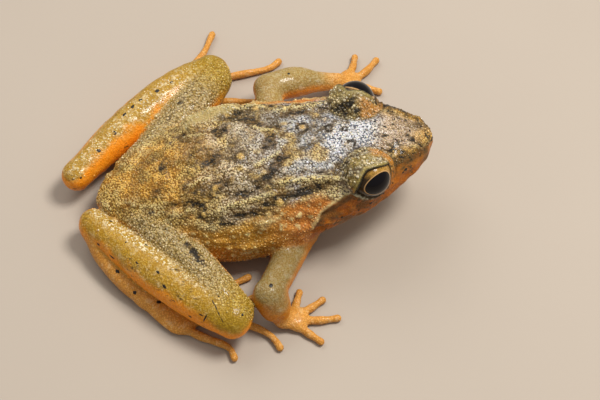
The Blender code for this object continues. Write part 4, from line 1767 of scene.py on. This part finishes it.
    def paint(self, warts: dict[str, Array]) -> dict[str, Array]:
        """Colours the skin.

        Args:
            warts: Crowns and rings of the warts.

        Returns:
            By name: ground, body and granule colours; granular and flecked for the shader; grainy and
            speckled for the standing grains; ink; and coarse, where the grains are larger.
        """
        x, _, z = self.smooth.T
        torso = self.weights["torso"]
        wobble = self.lumps("wobble") - 0.5
        cheek = ramp(-0.22, 0.22, x - np.interp(self.angle, *np.array(CHEEK_EDGE).T))
        middle = 8 * ramp(5, 10, x) + 6 * ramp(15, 21, x)
        edge = self.back_edge_deg + middle * ramp(29, 25, x)
        dorsal = ramp(edge, edge + self.back_ease_deg, self.angle + 16 * wobble) * (1 - cheek)
        head = ramp(25, 31, x)
        under = ramp(blend(head, -14, -6), blend(head, -40, -30), self.angle)
        tone = (0.6 * self.lumps("gold_broad") + 0.4 * self.lumps("gold_fine")
                + 0.18 * ramp(70, 35, self.angle + 16 * wobble))
        back = along(x + 3.0 * wobble, BACK_TINTS)
        back = GOLDEN.over(back, ramp(0.50, 0.64, tone) * ramp(31, 27, x) * 0.8)
        rim = ramp(70, 50, self.angle + 16 * wobble) * ramp(31, 34, x)
        back = SNOUT_RIM.over(back, rim)
        trunk = blend(dorsal[:, None, None], along(x, FLANK_TINTS), back)
        trunk = BELLY.over(CHEEK.over(trunk, cheek), under)
        lid = sum(ramp(3.75, 3.45, seat.opening(self.smooth.T)[1])
                  * ramp(-0.1, 0.8, z - seat.centre[2]) for seat in EYES)
        lid = np.clip(lid * ramp(1.0, 0.4, cheek), 0, 1)
        tints = {"torso": trunk, **self.limb_tints()}
        colours = sum(self.weights[group][:, None, None] * tint for group, tint in tints.items())
        colours = LID.over(colours, lid)
        grains = blend(dorsal, 0.24 * (1 - cheek), 1 - 0.35 * ramp(33, 35, x))
        granular = torso * blend(under, grains, 0.0)
        granular = granular + self.weights["thigh"] * 0.8 * ramp(0.0, 0.5, self.normals[:, 2])
        for seat in EYES:
            oval, away, _ = seat.opening(self.smooth.T)
            granular *= np.where(away < 3.4, ramp(1.10, 1.22, oval), 1.0)
        paint = Paint(colours, granular, dorsal * torso * (1 - lid), cheek, np.zeros(len(x)))
        self.mark_back(paint, warts)
        self.mark_legs(paint)
        self.mark_folds(paint)
        self.mark_face(paint)
        self.mark_hip(paint)
        for seat in EYES:
            self.mark_lids(paint, seat)
        arms = self.weights["upper_arm"] + self.weights["forearm"]
        flecked, speckled = self.flecks()
        return {
            "ground": colours[:, 0], "body": colours[:, 1], "granule": colours[:, 2],
            "granular": paint.granular + 0.25 * arms + 0.18 * self.weights["shank"],
            "grainy": paint.granular, "flecked": flecked, "speckled": speckled,
            "ink": paint.ink, "coarse": lid,
        }

    def flecks(self) -> tuple[Array, Array]:
        """Pale flecks along the crest of the shanks and on the thighs, fewer on the left.

        Returns:
            How much of them the shader draws, and how much stands on the shanks as grains.
        """
        right = ramp(1, -1, self.smooth[:, 1])
        lean = blend(right, 0.1, 0.44)
        forward = self.normals[:, 0] - np.sign(self.smooth[:, 1]) * self.normals[:, 1]
        crest = ramp(0.74, 0.93, lean * forward + np.sqrt(1 - 2 * lean ** 2) * self.normals[:, 2])
        near = blend(right, 0.32, 1.0)
        clumps = ramp(0.40, 0.58, self.lumps("fleck_broad") * 0.6 + self.lumps("fleck_fine") * 0.4)
        clear = ramp(1.0, 0.8, self.weights["torso"] + self.shares["shank"] * 0.2)
        shank = self.weights["shank"] * clear
        thigh = self.weights["thigh"] * 0.25 * ramp(0.4, 0.9, self.normals[:, 2])
        return shank * crest * near + thigh, shank * crest * clumps * near * 0.9

    def limb_tints(self) -> dict[str, Array]:
        """The limbs' colours, more orange where they face down or, on the left, towards the body; the right
        arm darker than the left as painted shade.

        Returns:
            The three colours of each kind of limb at each point.
        """
        right = ramp(1, -1, self.smooth[:, 1])
        uneven = 0.5 * (self.lumps("limb_broad") - 0.5) + 0.35 * (self.lumps("limb_fine") - 0.5)
        inward = (self.normals[:, 0] - np.sign(self.smooth[:, 1]) * self.normals[:, 1]) * 0.7
        facing = self.normals[:, 2] + uneven - (1 - right) * 0.60 * np.maximum(inward, 0)
        above = ramp(0.1, 0.6, self.normals[:, 2])
        edge = LIMB_EDGE.table()[None]
        # the right arm darker than the left: painted shade
        arm = ARM.over(edge, above) * blend(right, 0.84, 0.62)[:, None, None]
        shank = SHANK_TOP.over(edge, ramp(0.2, 0.75, facing))
        foot = FOOT.table()[None]
        return {
            "thigh": KNEE.over(THIGH_TOP.over(edge, above), ramp(0.72, 1.0, self.shares["thigh"])),
            "shank": KNEE.over(shank, ramp(0.26, 0.0, self.shares["shank"]) * above),
            "tarsus": foot, "sole": foot, "toe": foot, "hand": foot, "finger": foot,
            "upper_arm": arm,
            "forearm": FOOT.over(arm, ramp(0.6, 1.0, self.shares["forearm"])),
        }

    def mark_back(self, paint: Paint, warts: dict[str, Array]) -> None:
        """Worn and pale patches, blotches and rings of back, flanks and crown. The wrinkles get painted shade
        in their valleys and painted highlight on their crests; the warts' dark rings and pale crowns are
        partly their own colour and partly painted shade and highlight.

        Args:
            paint: What is laid on so far.
            warts: Crowns and rings of the warts.
        """
        x = self.smooth[:, 0]
        dorsal = paint.dorsal
        trunk = self.weights["torso"] * (1 - paint.cheek)
        noise = self.lumps("ragged")
        wrinkles = self.wrinkles()
        patch = (0.5 * self.lumps("patch_broad") + 0.3 * self.lumps("patch_middle")
                 + 0.2 * self.lumps("patch_fine"))
        worn = ramp(0.50, 0.36, patch) * dorsal
        pale = ramp(0.50, 0.62, patch) * dorsal
        for row, depth in ((1, 0.7), (2, 0.5)):
            colour = paint.colours[:, row]
            paint.colours[:, row] = blend((worn * depth)[:, None], colour, colour * WORN)
        paint.colours[:, 1] = blend((pale * 0.5)[:, None], paint.colours[:, 1], paint.colours[:, 2])
        beside = ramp(72, 50, self.angle) * ramp(8, 22, self.angle)
        front = ramp(6, 15, x)
        paint.ink = dorsal * (0.06 + 0.10 * front + 0.22 * worn * front + 0.10 * beside)
        # painted shade in the wrinkles' valleys, following their relief
        paint.ink += dorsal * beside * front * 0.42 * ramp(0.50, 0.34, wrinkles)
        paint.ink += trunk * ramp(10, 20, self.angle) * ramp(12, 20, x) * 0.05
        paint.lay(dorsal * beside * front * 0.45, BROWN, (0.6, 0.5, 0.3))
        # painted highlight on the wrinkles' crests, following their relief
        paint.lay(ramp(0.50, 0.66, wrinkles) * dorsal * beside * 0.8, PALE_CREST_AND_HIGHLIGHT, (0.0, 0.8, 0.7))
        # the warts' dark rings: partly their own ringed colour, partly painted shade round their bases
        paint.lay(warts["ring"] * (dorsal + 0.3 * trunk) * 0.75, DARK_RING_AND_SHADE, (1.0, 0.9, 0.7))
        paint.blacken(warts["ring"] * dorsal * 0.40)
        dots = 0.16 + 0.44 * ramp(0.50, 0.72, self.lumps("snout_ink"))
        paint.blacken(ramp(33, 34.5, x) * dorsal * dots)
        for blotch in BACK_BLOTCHES:
            share = blotch.share(self.smooth, noise) * dorsal
            paint.lay(share * 0.8, UMBER, (0.9, 0.85, 0.62))
            paint.blacken(share * 0.64)
        for middle, radius in HEAD_RINGS:
            away = np.abs(away_from(self.smooth, middle) - radius)
            paint.blacken(ramp(0.28, 0.08, away) * 0.72)
        # the warts' golden and pale crowns: partly their own colour, partly painted highlight on their tops
        paint.lay(warts["crown"] * (dorsal + 0.5 * trunk) * 0.75, CROWN_AND_HIGHLIGHT, (0.4, 1.0, 0.6))
        paint.lay(ramp(0.1, 0.3, warts["crown"]) * trunk * (1 - dorsal), PALE_CREST_AND_HIGHLIGHT, (0.3, 0.9, 0.8))
        paint.ink *= 1 - 0.8 * warts["crown"]

    def mark_legs(self, paint: Paint) -> None:
        """Thin pigment on the hind legs, and their blotches.

        Args:
            paint: What is laid on so far.
        """
        legs = self.weights["thigh"] + self.weights["shank"]
        legs = legs + 0.8 * (self.weights["tarsus"] + self.weights["sole"])
        paint.ink += legs * (0.07 + 0.19 * ramp(0.5, 0.7, self.lumps("leg_ink")))
        for blotch in LEG_BLOTCHES:
            paint.blacken(blotch.share(self.smooth, self.lumps("ragged")) * 0.74)

    def mark_folds(self, paint: Paint) -> None:
        """Pale crests along the folds of back and ears, with painted shade in the grooves beside the back's
        folds and a painted shadow below the ear folds.

        Args:
            paint: What is laid on so far.
        """
        torso = self.weights["torso"]
        noise = self.lumps("ragged")
        for fold in FOLDS:
            for side in self.both(fold):
                # painted shade in the grooves on both sides of the fold
                groove = side.bell(self.smooth, 2.2) - side.bell(self.smooth, 1.3)
                groove = np.clip(groove, 0, 1) * torso
                crest = side.bell(self.smooth, 0.8) * torso
                paint.lay(groove * 0.9, UMBER, (0.9, 0.85, 0.62))
                paint.blacken(groove * (0.30 + 0.75 * noise))
                paint.lay(crest * 0.9, PALE_CREST_AND_HIGHLIGHT, (0.0, 0.9, 0.8))
                paint.ink *= 1 - crest
        for side in self.both(EAR_FOLD):
            # painted shadow along a line below the ear fold
            lower = tuple((x + 0.25, y + math.copysign(0.30, y), z - 0.50) for x, y, z in side.line)
            shade = ramp(0.50, 0.15, away_from_line(self.smooth, lower)) * torso
            paint.lay(shade * 0.8, BROWN)
            crest = ramp(0.3, 0.8, side.bell(self.smooth, 0.9)) * torso
            paint.lay(crest * 0.7, PALE_CREST_AND_HIGHLIGHT)
            paint.granular *= 1 - crest
            paint.ink *= 1 - crest

    def mark_face(self, paint: Paint) -> None:
        """Mottled cheeks, orange under the snout's edge, the stripe to the nostril, nostrils blackened as
        painted shade in their openings, and mouth line.

        Args:
            paint: What is laid on so far.
        """
        x, _, z = self.smooth.T
        torso = self.weights["torso"]
        noise = self.lumps("ragged")
        cheek = torso * paint.cheek * ramp(-45, -15, self.angle)
        mottled = ramp(0.48, 0.66, 0.6 * self.lumps("cheek_broad") + 0.4 * self.lumps("cheek_fine"))
        paint.lay(cheek * mottled * 0.75, UMBER)
        paint.lay(cheek * ramp(12, 32, self.angle) * ramp(30, 34, x) * 0.45, ORANGE)
        paint.blacken(cheek * (0.10 + 0.26 * ramp(0.55, 0.75, self.lumps("cheek_ink"))))
        for line in (FACE_STRIPE, self.mirrored(FACE_STRIPE)):
            away = away_from_line(self.smooth, line) + 0.6 * (noise - 0.5)
            band = ramp(1.05, 0.30, away) * torso
            paint.lay(band * 0.8, UMBER)
            paint.blacken(band * 0.42)
        # painted shade: the nostrils' openings blackened
        for side in Side:
            paint.blacken(ramp(0.36, 0.18, away_from(self.smooth, self.nostril(side))) * 1.5)
        away = np.abs(z - np.interp(x, *np.array(MOUTH).T))
        inside = torso * ramp(self.mouth_from - 1.6, self.mouth_from, x)
        paint.lay(inside * ramp(0.26, 0.08, away), BROWN)

    def mark_hip(self, paint: Paint) -> None:
        """The pale smooth bulge beside the left hip.

        Args:
            paint: What is laid on so far.
        """
        hip = HIP_BULGE.share(self.smooth, self.lumps("ragged")) * self.weights["torso"]
        paint.colours[:] = HIP.over(paint.colours, hip * 0.62)
        paint.granular *= 1 - 0.7 * hip
        paint.ink *= 1 - hip

    def mark_lids(self, paint: Paint, seat: EyeSeat) -> None:
        """The lids: dark inner rear, orange inner front, pearly and dark patches, dark rim, pale lower edge
        that is partly painted reflection, a black upper edge that is partly painted shadow of the lid, and
        painted shade in the crease and in the pocket round the eyeball.

        Args:
            paint: What is laid on so far.
            seat: The eye's seat.
        """
        oval, away, lift = seat.opening(self.smooth.T)
        ahead, aside, up = minus(self.smooth.T, seat.centre)
        on_lid = ramp(3.6, 3.25, away)
        blot = ramp(0.40, 0.62, self.lumps("lid_blot"))
        inner = ramp(0.7, 1.7, -aside * seat.side.value)
        rear = ramp(0.9, -0.3, ahead)
        pearly = ramp(0.48, 0.62, self.lumps("lid_grey")) * (1 - 0.5 * inner)
        pearly *= ramp(0.0, 1.0, up) * (0.3 if seat.side is Side.LEFT else 1.0)
        paint.lay(on_lid * pearly, LID_GREY, (0.0, 0.6, 0.4))
        paint.lay(on_lid * inner * (1 - rear) * 0.9, ORANGE, (0.7, 1.0, 0.6))
        upper = ramp(-6, 4, lift)
        paint.ink = paint.ink * (1 - on_lid)
        paint.ink += on_lid * ramp(1.2, 1.35, oval) * (0.14 + 0.30 * inner * rear + 0.30 * blot)
        paint.lay(on_lid * ramp(1.24, 1.16, oval) * upper * 0.45, LID_STRIPE, (0.8, 1.0, 0.6))
        paint.lay(on_lid * ramp(1.24, 1.08, oval) * (1 - upper) * 0.9, UMBER)
        rim = on_lid * ramp(1.07, 1.04, oval) * (1 - upper)
        paint.lay(rim, BROWN)
        # pale lower margin: partly its own colour, partly painted reflection
        paint.lay(rim * ramp(2.58, 2.66, away), PALE_MARGIN_AND_REFLECTION)
        # black along the upper lid's edge: a thin dark rim widened by painted shadow of the lid
        paint.lay(on_lid * ramp(1.11, 1.05, oval) * upper, RIM_BLACK_AND_LID_SHADOW)
        # painted shade in the crease between lid and crown
        paint.lay(seat.crease(self.smooth) * 0.7, DARK_RING_AND_SHADE, (1.0, 0.9, 0.75))
        # painted shade in the hollow between lid and eyeball
        paint.lay(ramp(1.00, 0.94, oval) * ramp(3.2, 2.8, away), POCKET_SHADE)


@dataclass(frozen=True)
class Dome:
    """A low round dome of rings of equal corners: each ring's share of the radius and of the height."""

    rings: tuple
    sides: int

    def faces(self, count: int) -> list:
        """The faces of that many domes: walls between the rings, a fan to the top and a flat base.

        Args:
            count: How many domes.

        Returns:
            Their corners; each dome's rings run from the base up and its top comes last.
        """
        step, levels = self.sides, len(self.rings)
        i = np.arange(step)
        j = (i + 1) % step
        walls = [np.stack([i, j, j + step, i + step], axis=1) + k * step for k in range(levels - 1)]
        last = (levels - 1) * step
        cap = np.stack([i + last, j + last, np.full(step, levels * step)], axis=1)
        start = np.arange(count)[:, None, None] * (levels * step + 1)
        return ((np.concatenate(walls)[None] + start).reshape(-1, 4).tolist()
                + (cap[None] + start).reshape(-1, 3).tolist() + (i[::-1][None] + start[:, 0]).tolist())

    def points(self, places: Array, normals: Array, side: Array, wide: Array, long: Array,
               high: Array) -> Array:
        """The corners of domes that stand on places.

        Args:
            places: The middles of their bases.
            normals: Which way they stand.
            side: Across their widths.
            wide: Half width of each, or of each of its corners.
            long: Half length of each.
            high: Height of each.

        Returns:
            For each dome its rings' corners and its top.
        """
        other = np.cross(normals, side)
        turn = np.linspace(0, 2 * math.pi, self.sides, endpoint=False)
        flat = (np.cos(turn)[None, :, None] * side[:, None] * wide[:, :, None]
                + np.sin(turn)[None, :, None] * other[:, None] * long[:, :, None])
        rings = [places[:, None] + share * flat + normals[:, None] * (level * high)[:, None, None]
                 for share, level in self.rings]
        return np.concatenate([*rings, (places + normals * high[:, None])[:, None]], axis=1)


@dataclass(frozen=True)
class Grains:
    """Tiny round grains that stand on the skin, as many at each place as a painted amount says."""

    name: str
    amount: str
    spacing: float
    radius: float
    height: float
    seed: int
    tries: int
    dome: Dome = Dome(((1.0, -0.7), (0.86, 0.55)), 6)
    nearest: float = 0.84
    patch: float = 0.0015
    map_low: tuple = (-6.0, -1.0)
    map_high: tuple = (42.0, 1.0)
    map_axis: float = 3.0
    map_margin: float = 0.02

    def scatter(self, sheet: Sheet, amount: Array) -> tuple[Array, Array]:
        """Random places on the skin that keep their distance from each other.

        Quads are drawn by their area times the amount, with a random point in each. One place stays in each
        cube as wide as the spacing, and of two places too near each other in touching cubes the later goes.

        Args:
            sheet: The skin.
            amount: How many granules each point of it carries, 0 to 1.

        Returns:
            The quads' corners and those corners' weights for each place that stays.
        """
        draw = np.random.default_rng(self.seed)
        a, b, c, d = (sheet.points[sheet.quads[:, k]] for k in range(4))
        likely = np.clip(amount[sheet.quads].mean(axis=1), 0, 1)
        area = np.linalg.norm(np.cross(c - a, d - b), axis=1) * likely
        quads = draw.choice(len(area), self.tries, p=area / area.sum())
        wanted = draw.random(self.tries) < likely[quads]
        quads = sheet.quads[quads[wanted]]
        u, v = draw.random((2, len(quads)))
        shares = np.stack([(1 - u) * (1 - v), u * (1 - v), u * v, (1 - u) * v], axis=1)
        places = (sheet.points[quads] * shares[..., None]).sum(axis=1)
        cell = np.floor(places / self.spacing).astype(int)
        factors = np.array([1000000, 1000, 1])
        key = (cell + 500) @ factors
        _, first = np.unique(key, return_index=True)
        first.sort()
        quads, shares, places, key = quads[first], shares[first], places[first], key[first]
        order = np.argsort(key)
        ranked = key[order]
        keep = np.ones(len(places), bool)
        for step in product((-1, 0, 1), repeat=3):
            wanted = key + step @ factors
            spot = np.minimum(np.searchsorted(ranked, wanted), len(ranked) - 1)
            other = order[spot]
            close = np.linalg.norm(places - places[other], axis=1) < self.spacing * self.nearest
            keep &= ~((ranked[spot] == wanted) & close & (other < np.arange(len(places))))
        return quads[keep], shares[keep]

    def build(self, skin: Skin) -> bpy.types.Object:
        """Makes the grains as one mesh of closed domes, each in a tone of its own.

        Args:
            skin: The finished skin.

        Returns:
            The dressed object.
        """
        sheet = skin.sheet
        quads, shares = self.scatter(sheet, skin.colours[self.amount])
        draw = np.random.default_rng(self.seed + 1)
        count = len(quads)

        def at(values: Array) -> Array:
            """Values of the skin's points at the grains' places."""
            return (values[quads] * (shares[..., None] if values.ndim == 2 else shares)).sum(axis=1)

        places, normals = at(sheet.points), at(sheet.normals())
        normals /= np.linalg.norm(normals, axis=1)[:, None]
        side = np.cross(normals, draw.normal(size=(count, 3)))
        side /= np.linalg.norm(side, axis=1)[:, None]
        size = draw.uniform(0.74, 1.16, count) * (1 + 0.25 * at(skin.colours["coarse"]))
        long = draw.uniform(0.88, 1.16, count)
        points = self.dome.points(places, normals, side, (self.radius * size / long)[:, None],
                                  (self.radius * size * long)[:, None], self.height * size)
        corners = points.shape[1]
        made = add_piece(self.name, points.reshape(-1, 3), self.dome.faces(count), GranuleFinish().build())
        body, pale = at(skin.colours["body"]), at(skin.colours["granule"])
        tone = blend(0.1 + 0.9 * draw.random((count, 1)), body, pale) * draw.uniform(0.84, 1.1, (count, 1))
        tone *= 1 + draw.uniform(-1, 1, (count, 1)) * np.array([0.05, 0.0, -0.16])
        ink = at(skin.colours["ink"]) + draw.uniform(-0.22, 0.10, count)
        add_colour(made.data, "tone", np.repeat(tone, corners, axis=0))
        add_number(made.data, "ink", np.repeat(ink, corners))
        self.unwrap(made.data, skin, places, normals, corners)
        return made

    def unwrap(self, mesh: bpy.types.Mesh, skin: Skin, places: Array, normals: Array, size: int) -> None:
        """Gives each grain a small patch of the map OFBake, at its place on the unrolled skin.

        Args:
            mesh: The grains' mesh.
            skin: The skin.
            places: Where the grains stand.
            normals: Which way they stand.
            size: How many points a grain has.
        """
        x, y, z = places.T
        turn = np.arctan2(y - skin.torso.bend(x), z - self.map_axis) / math.pi
        low, high = np.array(self.map_low), np.array(self.map_high)
        middle = (np.stack([x + 2 * normals[:, 0], turn], axis=1) - low) / (high - low)
        angle = 2 * math.pi * np.arange(size) / (self.dome.sides + 0.5)
        corner = self.patch * np.stack([np.cos(angle), np.sin(angle)], axis=1)
        corner[-1] = 0
        flat = (self.map_margin + (1 - 2 * self.map_margin) * middle[:, None] + corner[None]).reshape(-1, 2)
        used = np.zeros(len(mesh.loops), np.int32)
        mesh.loops.foreach_get("vertex_index", used)
        layer = mesh.uv_layers.new(name="OFBake")
        layer.uv.foreach_set("vector", flat[used].astype(np.float32).ravel())


GRAINS = (
    Grains("back_grains", "grainy", 0.31, 0.155, 0.08, 5, 110000),
    Grains("leg_grains", "speckled", 0.30, 0.125, 0.06, 9, 20000),
)


@dataclass(frozen=True)
class Specks:
    """Small black pigment specks, low domes with a ragged outline that hug the skin."""

    height: float = 0.022
    dome: Dome = Dome(((1.0, -1.0), (0.86, 0.35), (0.45, 0.8)), 12)
    seed: int = 3
    reach: float = 1.6
    ragged: tuple = (0.78, 1.2)
    rounds: int = 2

    def build(self, skin: Skin) -> bpy.types.Object:
        """Makes the specks where the tables put them.

        Each dome is made flat on the plane of the nearest skin point. Then its corners move along the plane's
        normal by their own distances from the skin.

        Args:
            skin: The finished skin.

        Returns:
            The dressed object.
        """
        sheet = skin.sheet
        every = sheet.normals()
        draw = np.random.default_rng(self.seed)
        level = np.append(np.repeat([share for _, share in self.dome.rings], self.dome.sides), 1.0)
        domes = []
        for middle, long, wide, turn_deg in LEG_SPECKS + HEAD_SPECKS + OTHER_SPECKS:
            near = np.flatnonzero(away_from(sheet.points, middle) < self.reach)
            spots, normals = sheet.points[near], every[near]
            nearest = np.argmin(away_from(spots, middle))
            place, normal = spots[nearest], normals[nearest]
            turn = math.radians(turn_deg)
            ahead = unit(np.cross(normal, np.cross((math.cos(turn), math.sin(turn), 0.0), normal)))
            ragged = draw.uniform(*self.ragged, (1, self.dome.sides))
            flat = self.dome.points(place[None], normal[None], ahead[None], long * ragged, wide * ragged,
                                    np.array([self.height]))[0]
            for _ in range(self.rounds):
                under = np.linalg.norm(flat[:, None] - spots[None], axis=2).argmin(axis=1)
                sunk = ((flat - spots[under]) * normals[under]).sum(axis=1)
                flat = flat + normal * (level * self.height - sunk)[:, None]
            domes.append(flat)
        made = add_piece("specks", np.concatenate(domes), self.dome.faces(len(domes)), SpeckFinish().build())
        return made


@dataclass(frozen=True)
class Eyeball:
    """One eyeball, a sphere whose front bulges a little."""

    seat: EyeSeat
    rings: int = 64
    sectors: int = 96
    bulge: float = 0.10
    bulge_reach: float = 0.7

    def build(self, finish: bpy.types.Material) -> bpy.types.Object:
        """Makes the eyeball from a grid of polar angle and turn about the pupil's axis.

        The radius is the ball's, plus the bulge times a bell of the polar angle.

        Args:
            finish: The eye's material.

        Returns:
            The dressed object, standing for the eye's node.
        """
        seat = self.seat
        look, corner, upper = seat.axes(seat.pupil_look)
        polar = np.linspace(0, math.pi, self.rings + 1)[1:-1]
        turn = np.linspace(0, 2 * math.pi, self.sectors, endpoint=False)
        polar, turn = (grid.ravel() for grid in np.meshgrid(polar, turn, indexing="ij"))
        polar = np.concatenate([polar, [0, math.pi]])
        turn = np.concatenate([turn, [0, 0]])
        ahead, aside, above = np.cos(polar), np.sin(polar) * np.cos(turn), np.sin(polar) * np.sin(turn)
        radius = seat.ball_radius + self.bulge * bell(polar, 0.0, self.bulge_reach)
        directions = ahead[:, None] * look + aside[:, None] * corner + above[:, None] * upper
        row = np.arange(self.sectors)
        after = (row + 1) % self.sectors
        start = np.arange(self.rings - 2)[:, None] * self.sectors
        quads = np.stack([start + row, start + after, start + self.sectors + after,
                          start + self.sectors + row], axis=-1)
        front, rear = len(polar) - 2, len(polar) - 1
        last = (self.rings - 2) * self.sectors
        faces = quads.reshape(-1, 4).tolist()
        faces += np.stack([np.full_like(row, front), after, row], axis=1).tolist()
        faces += np.stack([np.full_like(row, rear), last + row, last + after], axis=1).tolist()
        if np.dot(np.cross(corner, upper), look) > 0:
            faces = [face[::-1] for face in faces]
        points = np.asarray(seat.centre) + radius[:, None] * directions
        ball = add_piece(f"{seat.side.word}_eyeball", points, faces, finish)
        add_number(ball.data, "ahead", ahead)
        add_number(ball.data, "aside", aside / seat.pupil_scale)
        add_number(ball.data, "above", above / seat.pupil_scale)
        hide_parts(f"{seat.side.word}_eye")
        return ball


@dataclass(frozen=True)
class Lamp:
    """A square soft light that shines on the origin: its direction, distance, width, watts and colour."""

    name: str
    toward: Triple
    distance: float
    size: float
    power: float
    colour: Triple

    def build(self) -> bpy.types.Object:
        """Puts the light into the scene.

        Returns:
            The light.
        """
        data = bpy.data.lights.new(self.name, "AREA")
        data.size = self.size * MM
        data.energy = self.power
        data.color = self.colour
        direction = Vector(self.toward).normalized()
        return put(self.name, data, direction * self.distance * MM, direction)


@dataclass(frozen=True)
class Studio:
    """Floor, lights and camera."""

    azimuth_deg: float = -6.0
    elevation_deg: float = 58.0
    distance: float = 297.0
    lens: float = 150.0
    sensor: float = 36.0
    clip: tuple = (0.01, 20.0)
    vent: Triple = (0.0, 0.0, 4.0)
    vent_pixel_x: float = 97.0
    floor_half: float = 4000.0
    sky: Triple = (1.0, 0.97, 0.93)
    sky_strength: float = 0.45
    lamps: tuple = (
        Lamp("key", (0.40, 0.07, 0.91), 420.0, 130.0, 1.75, (1.0, 0.97, 0.92)),
        Lamp("fill", (-0.3, 0.6, 0.8), 600.0, 400.0, 1.3, (1.0, 0.98, 0.95)),
    )

    def camera(self) -> bpy.types.Object:
        """The camera at the photograph's view: the vent is at its pixel, on the picture's middle height.

        Returns:
            The camera, set as the scene's.
        """
        a, e = math.radians(self.azimuth_deg), math.radians(self.elevation_deg)
        back = Vector((math.sin(a) * math.cos(e), -math.cos(a) * math.cos(e), math.sin(e)))
        pixels_per_mm = IMAGE_WIDTH / self.sensor * self.lens / self.distance
        ahead = (IMAGE_WIDTH / 2 - self.vent_pixel_x) / pixels_per_mm
        aim = np.asarray(self.vent) + np.array([math.cos(a), math.sin(a), 0.0]) * ahead
        data = bpy.data.cameras.new("camera")
        data.lens = self.lens
        data.sensor_width = self.sensor
        data.clip_start, data.clip_end = self.clip
        made = put("camera", data, Vector(to_frame(aim)) + back * self.distance * MM, back)
        bpy.context.scene.camera = made
        return made

    def build(self) -> None:
        """Makes floor, sky, lights and camera."""
        corners = np.array([(-1, -1, 0), (1, -1, 0), (1, 1, 0), (-1, 1, 0)]) * (self.floor_half * MM)
        link("floor", mesh_of("floor", corners, [(0, 1, 2, 3)], FloorFinish().build()))
        world = bpy.data.worlds.new("studio")
        world.use_nodes = True
        sky = world.node_tree.nodes["Background"]
        sky.inputs["Color"].default_value = (*self.sky, 1)
        sky.inputs["Strength"].default_value = self.sky_strength
        bpy.context.scene.world = world
        bpy.context.scene.view_settings.view_transform = "Standard"
        for lamp in self.lamps:
            lamp.build()
        self.camera()


def main() -> None:
    """Builds the frog, its floor, its light and the camera."""
    logging.basicConfig(level=logging.INFO, format="%(name)s: %(message)s")
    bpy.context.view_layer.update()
    Studio().build()
    body = Skin()
    pieces = [body.build()]
    pieces += [grains.build(body) for grains in GRAINS]
    pieces.append(Specks().build(body))
    wet = EyeFinish().build()
    pieces += [Eyeball(seat).build(wet) for seat in EYES]
    for piece in pieces:
        log.info("%s: %d faces", piece.name, len(piece.data.polygons))


if __name__ == "__main__":
    main()
